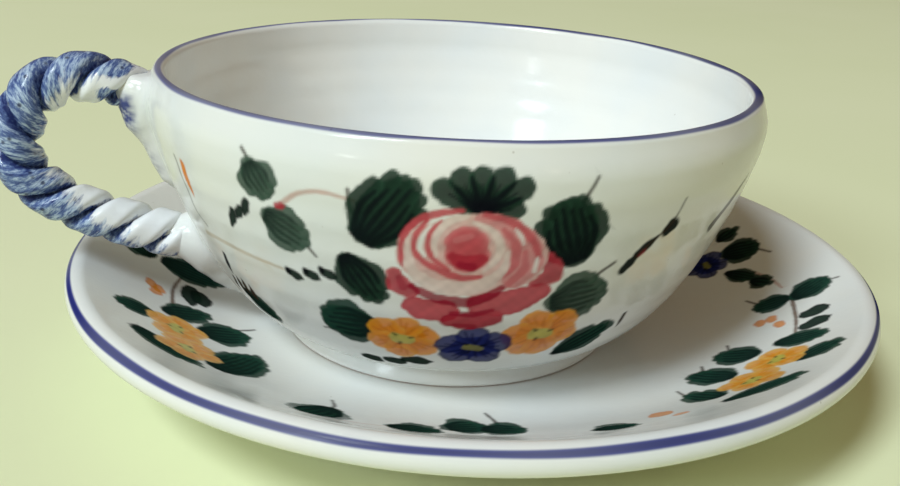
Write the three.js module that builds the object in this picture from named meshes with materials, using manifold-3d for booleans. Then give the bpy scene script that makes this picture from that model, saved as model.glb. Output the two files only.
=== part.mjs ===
// A glazed earthenware cup with a handle of two twisted clay ropes, standing in its saucer.
// Millimetres, +Z up. The origin is on the table under the cup's axis, and the handle points along -X.
import * as THREE from 'three';
import { mergeVertices } from 'three/addons/utils/BufferGeometryUtils.js';
import Module from 'manifold-3d';

// Clearances
const luteGap = 0.3; // between pieces of clay that are stuck together
const wellPlay = 5.6; // the well's radius over that of the cup's foot
const footStandoff = 1.1; // from the cup's foot to the edge of the well, on the side that it has slid to

// Cup, with heights from the underside of its foot
const cupHeight = 49.5;
const cupRadius = 55.6;
const cupWidestHeight = 44;
const bowlBaseRadius = 32; // flat underside, where the foot is stuck on
const bowlTurnReach = 13.6; // how far the underside runs out before the wall turns up
const bowlTurnRise = 1.2;
const bowlUpright = 5; // how far the wall stays upright below its widest point
const bowlWall = 3.6;
const lipThickness = 2.4;
const lipInset = 1; // of the lip's outside from the widest radius
const lipLean = THREE.MathUtils.degToRad(15);

// Foot ring of the cup
const cupFootRadius = 32.2;
const cupFootHeight = 4;
const cupFootWidth = 4.4;
const cupFootTaper = 1.2; // how much narrower the ring's outside is at its top
const footEdge = 0.7; // worn rounding on the edges of both foot rings

// Saucer, with heights from the table
const saucerRadius = 75.6;
const saucerDepth = 15; // from the well's floor up to the lip
const saucerWall = 4.5;
const saucerLipThickness = 4.8;
const saucerLipSlope = THREE.MathUtils.degToRad(30);
const coveReach = 14; // how far the cove runs out flat from the well
const coveRise = 13; // how far it runs straight up to the lip
const saucerFootHeight = 2.5;
const saucerFootWidth = 4.4;
const saucerFootInset = 1; // of the ring's outside from the edge of the well

// Handle, a rope of two strands, with its reach from the cup's axis and heights from the cup's foot
const strandThickness = 4.35; // across the rope, from its middle outwards
const strandBreadth = 6; // around the rope
const ropePitch = 13.9; // length of one full turn of the twist
const ropeStart = THREE.MathUtils.degToRad(27); // turn of the first strand where it leaves the upper root
const ropeReach = 81.3; // outside of the rope
const ropeReachHeight = 34.9;
const upperRootReach = 4.2; // from the wall to the end of the rope
const upperRootHeight = 46.2;
const upperRootRise = 18; // slope of the rope where it leaves the upper root, in degrees
const lowerRootReach = 5.2;
const lowerRootHeight = 18.4;
const lowerRootFall = 17; // slope of the rope where it meets the lower root, in degrees
const rootRun = 12.4; // length over which the rope runs on from its upper root before it bends
const lowerRun = 13.4; // the same before its lower root
const bendRun = 8; // the same above and below its widest point

// Roots of the handle, smeared down the wall as tails
const upperTailEnd = 28; // height of the tail's tip
const upperTailThickness = 4;
const lowerTailEnd = 8.5;
const lowerTailThickness = 3.2;
const tailTipShare = 0.25; // size of a tail at its tip, against its root
const rootFlare = 0.7; // how much wider a root is where it goes into the wall

// Fineness of the round forms
const turnSegments = 56;
const sideSteps = 8;
const lipSteps = 6;
const strandSides = 10;
const strandStepsPerTurn = 14;
const rootSides = 20;
const tailSteps = 8;

// Sizes that follow from those above
const lipCentre = new THREE.Vector2(cupRadius - lipInset - lipThickness / 2, cupHeight - lipThickness / 2);
const wellRadius = cupFootRadius + wellPlay;
const wellHeight = saucerFootHeight + saucerWall;
const saucerShift = wellPlay - footStandoff;
const strandOffset = strandThickness / 2 + luteGap / 2;
const ropeRadius = strandOffset + strandThickness / 2;

const wasm = await Module();
wasm.setup();

const glaze = () => new THREE.MeshStandardMaterial({ color: '#f0eee8', roughness: 0.2, metalness: 0 });
const blueGlaze = () => new THREE.MeshStandardMaterial({ color: '#4a5590', roughness: 0.22, metalness: 0 });

// Points beside a curve, on its left for a positive distance
function offsetPoints(curve, steps, distance) {
  return Array.from({ length: steps + 1 }, (_, step) => {
    const tangent = curve.getTangentAt(step / steps);
    const normal = new THREE.Vector2(-tangent.y, tangent.x);
    return curve.getPointAt(step / steps).addScaledVector(normal, distance);
  });
}

// A curve that leaves one point and reaches another along given directions
function blend(from, leaving, to, reaching, run) {
  return new THREE.CubicBezierCurve(
    from,
    from.clone().addScaledVector(leaving, run),
    to.clone().addScaledVector(reaching, -run),
    to,
  );
}

function arcPoints(centre, radius, fromAngle, toAngle, steps) {
  return Array.from({ length: steps + 1 }, (_, step) => {
    const angle = THREE.MathUtils.lerp(fromAngle, toAngle, step / steps);
    return new THREE.Vector2(Math.cos(angle), Math.sin(angle)).multiplyScalar(radius).add(centre);
  });
}

// A round body about +Z from a profile of radius and height
function turned(profile) {
  const spaced = profile.filter((point, index) => index === 0 || point.distanceTo(profile[index - 1]) > 1e-4);
  const geometry = new THREE.LatheGeometry(spaced, turnSegments);
  geometry.rotateX(Math.PI / 2);
  return closed(geometry);
}

// The same surface with shared corners and without the slivers on the axis
function closed(geometry) {
  geometry.deleteAttribute('normal');
  geometry.deleteAttribute('uv');
  const merged = mergeVertices(geometry, 1e-4);
  const corners = merged.index.array;
  const kept = [];
  for (let first = 0; first < corners.length; first += 3) {
    const triangle = [corners[first], corners[first + 1], corners[first + 2]];
    if (new Set(triangle).size === 3) kept.push(...triangle);
  }
  merged.setIndex(kept);
  merged.computeVertexNormals();
  return merged;
}

// A closed body through rings of points, each running anticlockwise as seen from the last ring
function loft(rings) {
  const sides = rings[0].length;
  const geometry = new THREE.BufferGeometry().setFromPoints(rings.flat());
  const corners = [];
  for (let ring = 0; ring < rings.length - 1; ring += 1) {
    for (let side = 0; side < sides; side += 1) {
      const here = ring * sides + side;
      const next = ring * sides + (side + 1) % sides;
      corners.push(here, next, next + sides, here, next + sides, here + sides);
    }
  }
  const last = (rings.length - 1) * sides;
  for (let side = 1; side < sides - 1; side += 1) {
    corners.push(0, side + 1, side, last, last + side, last + side + 1);
  }
  geometry.setIndex(corners);
  geometry.computeVertexNormals();
  return geometry;
}

// An oval of points about a centre, from one half-axis towards the other
function oval(centre, firstAxis, secondAxis, sides) {
  return Array.from({ length: sides }, (_, side) => {
    const angle = (2 * Math.PI * side) / sides;
    return centre.clone().addScaledVector(firstAxis, Math.cos(angle)).addScaledVector(secondAxis, Math.sin(angle));
  });
}

function toSolid(geometry) {
  const vertProperties = new Float32Array(geometry.attributes.position.array);
  const triVerts = new Uint32Array(geometry.index.array);
  return new wasm.Manifold(new wasm.Mesh({ numProp: 3, vertProperties, triVerts }));
}

function toGeometry(solid) {
  const { vertProperties, triVerts } = solid.getMesh();
  const geometry = new THREE.BufferGeometry();
  geometry.setAttribute('position', new THREE.BufferAttribute(vertProperties, 3));
  geometry.setIndex(new THREE.BufferAttribute(triVerts, 1));
  geometry.computeVertexNormals();
  return geometry;
}

function named(name, geometry, material) {
  const mesh = new THREE.Mesh(geometry, material);
  mesh.name = name;
  return mesh;
}

// Outside of the bowl: a wall that turns up from the flat base, then leans in to the lip
const up = new THREE.Vector2(0, 1);
const bowlSide = new THREE.CubicBezierCurve(
  new THREE.Vector2(bowlBaseRadius, cupFootHeight),
  new THREE.Vector2(bowlBaseRadius + bowlTurnReach, cupFootHeight + bowlTurnRise),
  new THREE.Vector2(cupRadius, cupWidestHeight - bowlUpright),
  new THREE.Vector2(cupRadius, cupWidestHeight),
);
const lipStart = new THREE.Vector2(Math.cos(lipLean), Math.sin(lipLean))
  .multiplyScalar(lipThickness / 2)
  .add(lipCentre);
const lipRun = (lipStart.y - cupWidestHeight) / 3;
const bowlShoulder = blend(
  new THREE.Vector2(cupRadius, cupWidestHeight),
  up,
  lipStart,
  new THREE.Vector2(-Math.sin(lipLean), Math.cos(lipLean)),
  lipRun,
);

function bowl() {
  const innerLip = new THREE.Vector2(lipCentre.x - lipThickness / 2, lipCentre.y);
  const innerShoulder = blend(new THREE.Vector2(cupRadius - bowlWall, cupWidestHeight), up, innerLip, up, lipRun);
  const inside = [...offsetPoints(bowlSide, sideSteps, bowlWall), ...innerShoulder.getPoints(lipSteps / 2)];
  return turned([
    new THREE.Vector2(0, cupFootHeight),
    ...bowlSide.getSpacedPoints(sideSteps),
    ...bowlShoulder.getPoints(lipSteps / 2),
    ...arcPoints(lipCentre, lipThickness / 2, lipLean, Math.PI, lipSteps),
    ...inside.reverse(),
    new THREE.Vector2(0, cupFootHeight + bowlWall),
  ]);
}

// The bowl as a full round block, larger by the gap that the roots of the handle keep to it
function bowlBlock() {
  return toSolid(turned([
    new THREE.Vector2(0, 0),
    new THREE.Vector2(bowlBaseRadius, 0),
    ...offsetPoints(bowlSide, sideSteps, -luteGap),
    ...offsetPoints(bowlShoulder, lipSteps / 2, -luteGap),
    new THREE.Vector2(lipStart.x, 2 * cupHeight),
    new THREE.Vector2(0, 2 * cupHeight),
  ]));
}

// A ring that stands on its flat underside, with its outside drawn in towards the top
function footRing(radius, width, height, taper) {
  const inner = radius - width;
  const path = new THREE.Path()
    .moveTo(inner + footEdge, 0)
    .lineTo(radius - footEdge, 0)
    .quadraticCurveTo(radius, 0, radius, footEdge)
    .lineTo(radius - taper, height)
    .lineTo(inner, height)
    .lineTo(inner, footEdge)
    .quadraticCurveTo(inner, 0, inner + footEdge, 0);
  return turned(path.getPoints(2));
}

function saucerDish() {
  const slope = new THREE.Vector2(Math.cos(saucerLipSlope), Math.sin(saucerLipSlope));
  const nose = saucerLipThickness / 2;
  const noseCentre = new THREE.Vector2(saucerRadius - nose, wellHeight + saucerDepth - nose);
  const coveEnd = new THREE.Vector2(-slope.y, slope.x).multiplyScalar(nose).add(noseCentre);
  const cove = new THREE.CubicBezierCurve(
    new THREE.Vector2(wellRadius, wellHeight),
    new THREE.Vector2(wellRadius + coveReach, wellHeight),
    coveEnd.clone().addScaledVector(slope, -coveRise),
    coveEnd,
  );
  const underside = offsetPoints(cove, sideSteps, -saucerWall).slice(0, -1);
  const quarter = Math.PI / 2;
  return turned([
    new THREE.Vector2(0, saucerFootHeight),
    ...underside,
    ...arcPoints(noseCentre, nose, saucerLipSlope - quarter, saucerLipSlope + quarter, lipSteps),
    ...cove.getSpacedPoints(sideSteps).reverse(),
    new THREE.Vector2(0, wellHeight),
  ]);
}

// Height and radius of the bowl's outside, as a point in the plane of the handle
const wallPoints = [...bowlSide.getSpacedPoints(8 * sideSteps), ...bowlShoulder.getPoints(4 * lipSteps)];
function wallPoint(height) {
  const above = Math.max(1, wallPoints.findIndex((point) => point.y > height));
  const low = wallPoints[above - 1];
  const high = wallPoints[above];
  const radius = THREE.MathUtils.mapLinear(height, low.y, high.y, low.x, high.x);
  return new THREE.Vector3(-radius, 0, height);
}

// Directions in the plane of the handle, which is seen from its front along +Y
const front = new THREE.Vector3(0, -1, 0);
function slanted(degreesAboveOutwards) {
  const angle = THREE.MathUtils.degToRad(degreesAboveOutwards);
  return new THREE.Vector3(-Math.cos(angle), 0, Math.sin(angle));
}

// Middle line of the rope, out from the upper root, round its widest point and in to the lower root
const upperEnd = wallPoint(upperRootHeight).addScaledVector(slanted(0), upperRootReach);
const lowerEnd = wallPoint(lowerRootHeight).addScaledVector(slanted(0), lowerRootReach);
const widest = new THREE.Vector3(ropeRadius - ropeReach, 0, ropeReachHeight);
const ropeLine = new THREE.CurvePath();
ropeLine.add(new THREE.CubicBezierCurve3(
  upperEnd,
  upperEnd.clone().addScaledVector(slanted(upperRootRise), rootRun),
  widest.clone().add(new THREE.Vector3(0, 0, bendRun)),
  widest,
));
ropeLine.add(new THREE.CubicBezierCurve3(
  widest,
  widest.clone().sub(new THREE.Vector3(0, 0, bendRun)),
  lowerEnd.clone().addScaledVector(slanted(lowerRootFall), lowerRun),
  lowerEnd,
));

// One strand, wound about the middle line and pressed oval against the other strand
function strand(startAngle) {
  const turns = ropeLine.getLength() / ropePitch;
  const steps = Math.round(turns * strandStepsPerTurn);
  const rings = [];
  for (let step = 0; step <= steps; step += 1) {
    const outwards = new THREE.Vector3().crossVectors(ropeLine.getTangentAt(step / steps), front);
    const angle = startAngle + (2 * Math.PI * turns * step) / steps;
    const away = outwards.clone().multiplyScalar(Math.cos(angle)).addScaledVector(front, Math.sin(angle));
    const around = outwards.multiplyScalar(Math.sin(angle)).addScaledVector(front, -Math.cos(angle));
    const centre = ropeLine.getPointAt(step / steps).addScaledVector(away, strandOffset);
    const halfThickness = away.multiplyScalar(strandThickness / 2);
    const halfBreadth = around.multiplyScalar(strandBreadth / 2);
    rings.push(oval(centre, halfThickness, halfBreadth, strandSides));
  }
  return loft(rings);
}

// Clay that carries the end of the rope, going straight into the wall and smeared down it as a tail
function root(ropeEnd, intoWall, tailTop, tailEnd, tailThickness, block) {
  const across = new THREE.Vector3().crossVectors(intoWall, front);
  const depth = 2 * ropeRadius;
  const bossRings = [luteGap, depth].map((run, ring) => {
    const radius = ropeRadius + ring * rootFlare;
    const centre = ropeEnd.clone().addScaledVector(intoWall, run);
    return oval(centre, across.clone().multiplyScalar(radius), front.clone().multiplyScalar(-radius), rootSides);
  });
  const tailRings = [];
  for (let step = 0; step <= tailSteps; step += 1) {
    const share = step / tailSteps;
    const size = THREE.MathUtils.lerp(1, tailTipShare, share * share);
    const height = THREE.MathUtils.lerp(tailTop, tailEnd, share);
    const down = wallPoint(height - bowlWall / 2).sub(wallPoint(height + bowlWall / 2)).normalize();
    const thick = new THREE.Vector3().crossVectors(down, front).multiplyScalar(tailThickness * size);
    const wide = front.clone().multiplyScalar(-ropeRadius * size);
    tailRings.push(oval(wallPoint(height), thick, wide, rootSides));
  }
  return toGeometry(toSolid(loft(bossRings)).add(toSolid(loft(tailRings))).subtract(block));
}

const cup = new THREE.Group();
cup.position.set(0, 0, wellHeight);
const block = bowlBlock();
cup.add(
  named('cup_bowl', bowl(), glaze()),
  named('cup_foot_ring', footRing(cupFootRadius, cupFootWidth, cupFootHeight, cupFootTaper), glaze()),
  named('handle_strand_a', strand(ropeStart), blueGlaze()),
  named('handle_strand_b', strand(ropeStart + Math.PI), blueGlaze()),
  named('handle_upper_root', root(
    upperEnd,
    slanted(upperRootRise).negate(),
    upperRootHeight,
    upperTailEnd,
    upperTailThickness,
    block,
  ), glaze()),
  named('handle_lower_root', root(
    lowerEnd,
    slanted(lowerRootFall).negate(),
    lowerRootHeight,
    lowerTailEnd,
    lowerTailThickness,
    block,
  ), glaze()),
);

const saucer = new THREE.Group();
saucer.position.set(saucerShift, 0, 0);
const saucerFootRadius = wellRadius - saucerFootInset;
saucer.add(
  named('saucer_dish', saucerDish(), glaze()),
  named('saucer_foot_ring', footRing(saucerFootRadius, saucerFootWidth, saucerFootHeight, 0), glaze()),
);

const set = new THREE.Group();
set.add(saucer, cup);
export default set;
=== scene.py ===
"""A tin-glazed earthenware cup with a rope handle, standing in its saucer, both painted with flowers."""
import math

import bmesh
import bpy
import numpy as np
from mathutils import Matrix, Vector


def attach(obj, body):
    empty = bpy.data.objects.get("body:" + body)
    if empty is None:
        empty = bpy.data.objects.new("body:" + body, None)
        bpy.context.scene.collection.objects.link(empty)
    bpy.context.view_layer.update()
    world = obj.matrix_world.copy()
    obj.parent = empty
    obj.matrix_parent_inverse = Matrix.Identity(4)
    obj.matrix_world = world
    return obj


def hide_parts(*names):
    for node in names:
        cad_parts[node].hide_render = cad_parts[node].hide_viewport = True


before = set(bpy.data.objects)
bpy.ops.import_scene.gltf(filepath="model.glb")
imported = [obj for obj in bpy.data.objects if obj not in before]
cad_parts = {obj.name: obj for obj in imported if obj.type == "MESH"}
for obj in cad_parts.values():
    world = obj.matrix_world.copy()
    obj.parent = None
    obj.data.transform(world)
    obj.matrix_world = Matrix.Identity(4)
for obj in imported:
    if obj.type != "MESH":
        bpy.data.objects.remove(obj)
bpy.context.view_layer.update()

MM = 0.001


# Sizes in millimetres, as in the solids, with the cup's heights from its foot
BOWL_BASE_RADIUS = 32.0
BOWL_TURN_REACH = 13.6
BOWL_TURN_RISE = 1.2
BOWL_UPRIGHT = 5.0
BOWL_WALL = 3.6
CUP_RADIUS = 55.6
CUP_HEIGHT = 49.5
CUP_WIDEST_HEIGHT = 44.0
LIP_THICKNESS = 2.4
LIP_INSET = 1.0
LIP_LEAN = 15.0
CUP_FOOT_RADIUS = 32.2
CUP_FOOT_HEIGHT = 4.0
CUP_FOOT_WIDTH = 4.4
CUP_FOOT_TAPER = 1.2
FOOT_EDGE = 0.7
FOOT_FILLET = 1.1

SAUCER_RADIUS = 75.6
SAUCER_DEPTH = 15.0
SAUCER_WALL = 4.5
SAUCER_LIP_THICKNESS = 4.8
SAUCER_LIP_SLOPE = 30.0
SAUCER_FOOT_HEIGHT = 2.5
SAUCER_FOOT_WIDTH = 4.4
SAUCER_FOOT_INSET = 1.0
WELL_PLAY = 5.6
FOOT_STANDOFF = 1.1
COVE_REACH = 14.0
COVE_RISE = 13.0

ROPE_PITCH = 13.9
ROPE_START = 27.0
ROPE_RADIUS = 4.5
ROPE_REACH = 81.3
ROPE_REACH_HEIGHT = 34.9
UPPER_ROOT_REACH = 4.2
UPPER_ROOT_HEIGHT = 46.2
UPPER_ROOT_RISE = 18.0
LOWER_ROOT_REACH = 5.2
LOWER_ROOT_HEIGHT = 18.4
LOWER_ROOT_FALL = 17.0
ROOT_RUN = 12.4
LOWER_RUN = 13.4
BEND_RUN = 8.0
UPPER_LEAD = 4.4
LOWER_LEAD = 5.4
# Section of a strand, fuller than in the solids because the clay was pressed together
STRAND_BREADTH = 7.3
STRAND_THICKNESS = 5.4
STRAND_OFFSET = 1.74
STRAND_UNEVENNESS = 0.55

WELL_RADIUS = CUP_FOOT_RADIUS + WELL_PLAY
WELL_HEIGHT = SAUCER_FOOT_HEIGHT + SAUCER_WALL
SAUCER_SHIFT = WELL_PLAY - FOOT_STANDOFF
HANDLE_BEARING = -90.0

# Fineness of the meshes: columns round, spacings of the rows in each stretch, and cuts in a painted face
CUP_COLUMNS = 220
CUP_SPACINGS = (5, 1.6, 0.45, 2.6, 5)
CUP_CUTS = 4
SAUCER_COLUMNS = 216
SAUCER_SPACINGS = (5, 2.2, 0.5, 1.9, 5)
SAUCER_CUTS = 5
FOOT_COLUMNS = 160
STRAND_STEP = 0.4
STRAND_SIDES = 44
ROOT_GRID = 0.34

# Edges of the roots' clay: softness of fillets, thickness that feathers out, width and depth of the edge
ROOT_SOFTNESS = 1.1
ROOT_FEATHER = 0.45
ROOT_EDGE = 1.2
ROOT_SUNK = 0.06


# Small helpers
def linear(hex_colour):
    """A written sRGB colour as linear red, green and blue."""
    parts = [int(hex_colour[place:place + 2], 16) / 255 for place in (1, 3, 5)]
    return [part / 12.92 if part <= 0.04045 else ((part + 0.055) / 1.055) ** 2.4 for part in parts]


def rgba(hex_colour):
    """A written sRGB colour as a node's colour."""
    return (*linear(hex_colour), 1.0)


def smoothstep(share):
    """A soft step from 0 to 1."""
    share = np.clip(share, 0.0, 1.0)
    return share * share * (3 - 2 * share)


def cubic(start, leave, arrive, end, steps=120):
    """Points on a cubic curve from its two ends and two handles."""
    share = np.linspace(0, 1, steps + 1)[:, None]
    rest = 1 - share
    start, leave, arrive, end = (np.array(point, float) for point in (start, leave, arrive, end))
    first_half = rest ** 3 * start + 3 * rest ** 2 * share * leave
    return first_half + 3 * rest * share ** 2 * arrive + share ** 3 * end


def arc(centre, radius, from_degrees, to_degrees, steps=60):
    """Points on an arc of a circle."""
    angle = np.radians(np.linspace(from_degrees, to_degrees, steps + 1))
    return np.array(centre) + radius * np.stack([np.cos(angle), np.sin(angle)], 1)


def beside(points, distance):
    """Points beside a line, on its left for a positive distance."""
    tangent = np.gradient(points, axis=0)
    tangent /= np.linalg.norm(tangent, axis=1)[:, None]
    return points + distance * np.stack([-tangent[:, 1], tangent[:, 0]], 1)


def lengths_along(points):
    """Length of a line up to each of its points."""
    return np.concatenate([[0.0], np.cumsum(np.linalg.norm(np.diff(points, axis=0), axis=1))])


def placed(name, data):
    """A new object in the scene, at the origin."""
    piece = bpy.data.objects.new(name, data)
    bpy.context.scene.collection.objects.link(piece)
    return piece


def mesh_from(name, places, faces, edges=()):
    """A mesh from places in millimetres."""
    mesh = bpy.data.meshes.new(name)
    mesh.from_pydata((places * MM).tolist(), edges, faces)
    return mesh


def object_from(name, mesh, materials):
    """A piece at the origin with its place in its mesh, smooth all over."""
    for material in materials:
        mesh.materials.append(material)
    mesh.shade_smooth()
    return placed(name, mesh)


def about_axis(turn, radius, height, axis_x=0.0):
    """Points at a turn from the front, a radius from an upright axis and a height."""
    return np.stack([axis_x + radius * np.sin(turn), -radius * np.cos(turn), height], 1)


def set_paint(mesh, colours):
    """Colours of the painting on each corner point, white where the glaze is bare."""
    layer = mesh.color_attributes.new("paint", "FLOAT_COLOR", "POINT")
    full = np.ones((len(mesh.vertices), 4), np.float32)
    full[:, :3] = colours
    layer.data.foreach_set("color", full.ravel())


# Outlines of the two turned pieces, in radius and height
def growing_steps(fine, coarse):
    """Steps between a finer spacing and a coarser one, each longer than the one before."""
    growth = 1.6
    longest = 0.8 * coarse
    steps = []
    step = growth * fine
    while step < longest:
        steps.append(step)
        step *= growth
    return steps


class Outline:
    """A line of radius and height, measured by its run in millimetres from a chosen start."""

    def __init__(self, stretches, start_after):
        self.points = stretches[0]
        joints = [len(stretches[0]) - 1]
        for stretch in stretches[1:]:
            self.points = np.vstack([self.points, stretch[1:]])
            joints.append(len(self.points) - 1)
        lengths = lengths_along(self.points)
        self.run = lengths - lengths[joints[start_after]]
        self.joints = [self.run[0], *(self.run[joint] for joint in joints)]

    def radius(self, run):
        return np.interp(run, self.run, self.points[:, 0])

    def height(self, run):
        return np.interp(run, self.run, self.points[:, 1])

    def rows(self, spacings):
        """Runs of the mesh's rows, with one spacing for each stretch that eases into its neighbours'."""
        rows = []
        befores = [spacings[0], *spacings[:-1]]
        afters = [*spacings[1:], spacings[-1]]
        stretches = zip(self.joints, self.joints[1:], befores, spacings, afters)
        for low, high, before, spacing, after in stretches:
            lead = growing_steps(before, spacing)
            trail = growing_steps(after, spacing)[::-1]
            middle = max(1, round((high - low - sum(lead) - sum(trail)) / spacing))
            steps = np.array([*lead, *[spacing] * middle, *trail])
            ends = np.cumsum(steps) / steps.sum()
            rows.append(low + (high - low) * np.concatenate([[0.0], ends[:-1]]))
        return np.concatenate([*rows, [self.joints[-1]]])


def bowl_outline():
    """Base, outer wall, shoulder, lip, inside and floor of the cup."""
    base = WELL_HEIGHT + CUP_FOOT_HEIGHT
    widest = WELL_HEIGHT + CUP_WIDEST_HEIGHT
    lean = math.radians(LIP_LEAN)
    nose = LIP_THICKNESS / 2
    lip_centre = np.array([CUP_RADIUS - LIP_INSET - nose, WELL_HEIGHT + CUP_HEIGHT - nose])
    lip_start = lip_centre + nose * np.array([math.cos(lean), math.sin(lean)])
    lip_run = (lip_start[1] - widest) / 3
    side = cubic(
        (BOWL_BASE_RADIUS, base),
        (BOWL_BASE_RADIUS + BOWL_TURN_REACH, base + BOWL_TURN_RISE),
        (CUP_RADIUS, widest - BOWL_UPRIGHT),
        (CUP_RADIUS, widest),
    )
    shoulder = cubic(
        (CUP_RADIUS, widest),
        (CUP_RADIUS, widest + lip_run),
        lip_start - lip_run * np.array([-math.sin(lean), math.cos(lean)]),
        lip_start,
    )
    lip = arc(lip_centre, nose, LIP_LEAN, 180)
    inner_lip = lip_centre - np.array([nose, 0])
    inner_top = np.array([CUP_RADIUS - BOWL_WALL, widest])
    rise = np.array([0, lip_run])
    inner_shoulder = cubic(inner_lip, inner_lip - rise, inner_top + rise, inner_top)
    inside = beside(side, BOWL_WALL)[::-1]
    bottom = np.array([inside[-1], [0, inside[-1][1]]])
    flat = np.array([[0, base], side[0]])
    wall = np.vstack([side, shoulder[1:]])
    inner = np.vstack([inner_shoulder, inside[1:]])
    return Outline([flat, wall, lip, inner, bottom], start_after=0)


def dish_outline():
    """Underside, lip, cove and well of the saucer, whose run counts from the lip's upper end."""
    slope = math.radians(SAUCER_LIP_SLOPE)
    along = np.array([math.cos(slope), math.sin(slope)])
    nose = SAUCER_LIP_THICKNESS / 2
    nose_centre = np.array([SAUCER_RADIUS - nose, WELL_HEIGHT + SAUCER_DEPTH - nose])
    cove_end = nose_centre + nose * np.array([-along[1], along[0]])
    cove = cubic((WELL_RADIUS, WELL_HEIGHT), (WELL_RADIUS + COVE_REACH, WELL_HEIGHT),
                 cove_end - COVE_RISE * along, cove_end)
    under = beside(cove, -SAUCER_WALL)
    lip = arc(nose_centre, nose, SAUCER_LIP_SLOPE - 90, SAUCER_LIP_SLOPE + 90)
    under[-1] = lip[0]
    flat = np.array([[0, SAUCER_FOOT_HEIGHT], under[0]])
    well = np.array([cove[0], [0, WELL_HEIGHT]])
    return Outline([flat, under, lip, cove[::-1], well], start_after=2)


BOWL = bowl_outline()
DISH = dish_outline()
DISH_REACH = DISH.joints[-1]


# Surfaces with the slight unevenness of thrown clay
RING_DEPTH = 0.045
WELL_MARGIN = 4


def bowl_surface(bearing, run):
    """Points on the cup, in millimetres, a little out of round as it left the wheel."""
    turn = np.radians(bearing)
    share = np.clip(BOWL.height(run) - WELL_HEIGHT, 0, CUP_HEIGHT) / CUP_HEIGHT
    out_of_round = 0.14 * np.sin(2 * turn + 0.7) + 0.07 * np.sin(3 * turn + 2.1) - 0.21
    rings = RING_DEPTH * np.sin(run * 1.15 + 0.5 * np.sin(turn)) * smoothstep((run - 3) / 10)
    radius = BOWL.radius(run) + share ** 2 * out_of_round + rings - RING_DEPTH
    height = BOWL.height(run) + share ** 3 * 0.16 * (np.sin(2 * turn + 1.9) - 1)
    radius = np.where(BOWL.radius(run) < 0.01, 0.0, radius)
    return about_axis(turn, radius, height)


def dish_surface(bearing, run):
    """Points on the saucer, in millimetres, its lip dipping a little where the clay sank."""
    turn = np.radians(bearing)
    past_well = DISH.radius(run) - WELL_RADIUS - WELL_MARGIN
    share = smoothstep(past_well / (SAUCER_RADIUS - WELL_RADIUS - WELL_MARGIN))
    radius = DISH.radius(run) + share * 0.12 * (np.sin(2 * turn + 0.4) - 1)
    height = DISH.height(run) + share * (0.22 * np.sin(2 * turn + 1.1) + 0.1 * np.sin(3 * turn) - 0.3)
    return about_axis(turn, radius, height, SAUCER_SHIFT)


# Painting
# Softness and waver of a stroke's edge, width and strength of the pigment pooled there, its grain, and the
# least paint that shows
BRUSH_EDGE = 0.6
BRUSH_WAVER = 0.1
POOL_WIDTH = 0.55
POOL_STRENGTH = 0.7
PIGMENT_GRAIN = 0.06
LEAST_PAINT = 0.03

LEAF_GREEN = linear("#20352b")
LEAF_LIGHT = linear("#305040")
LEAF_SOFT = linear("#20443a")
LEAF_FAINT = linear("#54665b")
LEAF_DARK = linear("#13151c")
STALK_BROWN = linear("#40342c")
STEM_BROWN = linear("#6e5040")
TENDRIL_OCHRE = linear("#c2a67c")
TENDRIL_PINK = linear("#d29c8e")
CORAL = linear("#d2545f")
CORAL_PALE = linear("#e4989b")
ROSE_RED = linear("#bb3042")
CRIMSON = linear("#a11735")
BLUSH = linear("#e9bfbc")
PALE_BLUSH = linear("#f2dcd8")
BARE = [1.0, 1.0, 1.0]
ORANGE = linear("#fe9611")
ORANGE_DEEP = linear("#dc740a")
ORANGE_PALE = linear("#feb438")
AMBER = linear("#fdab3a")
AMBER_PALE = linear("#fdcb68")
HEART_YELLOW = linear("#cfc75c")
HEART_OLIVE = linear("#8a8640")
INDIGO = linear("#2c3680")
INDIGO_DARK = linear("#101230")
LINE_BLUE = linear("#444a9a")
LINE_BLUE_DARK = linear("#30347a")
# Blue of the roots: cobalt, and painted shade along the edges and undersides of their tails
ROOT_BLUE_AND_SHADE = linear("#565e96")


def wall_flat(bearing, run, place):
    """Millimetres to the right of and above a place on the cup's wall."""
    turn = (bearing - place[0] + 180) % 360 - 180
    return np.radians(turn) * BOWL.radius(run), run - place[1]


def dish_flat(bearing, run, place):
    """Millimetres to the right of and inwards from a place on the saucer's top."""
    reach = DISH_REACH - run
    turn = np.radians(bearing - place[0])
    return reach * np.sin(turn), place[1] - reach * np.cos(turn)


class Painting:
    """Colours on the points of a glazed surface, laid on stroke by stroke."""

    def __init__(self, flat, bearing, run, seed):
        self.flat = flat
        self.bearing = bearing
        self.run = run
        self.colour = np.ones((len(bearing), 3))
        self.chance = np.random.default_rng(seed)

    def at(self, place, reach=24.0):
        """The points within reach of a place."""
        x, y = self.flat(self.bearing, self.run, place)
        near = np.flatnonzero((np.abs(x) < reach) & (np.abs(y) < reach))
        return Patch(self, near, x[near], y[near])

    def offset(self, place, other):
        """Where another place lies from a place, in flat millimetres."""
        run = other[1] if self.flat is wall_flat else DISH_REACH - other[1]
        x, y = self.flat(np.array([other[0]]), np.array([run]), place)
        return np.array([x[0], y[0]])

    def lay(self, points, cover, colour):
        """Covers each point with a share of a colour."""
        cover = cover[:, None]
        self.colour[points] = self.colour[points] * (1 - cover) + np.asarray(colour) * cover


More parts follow.
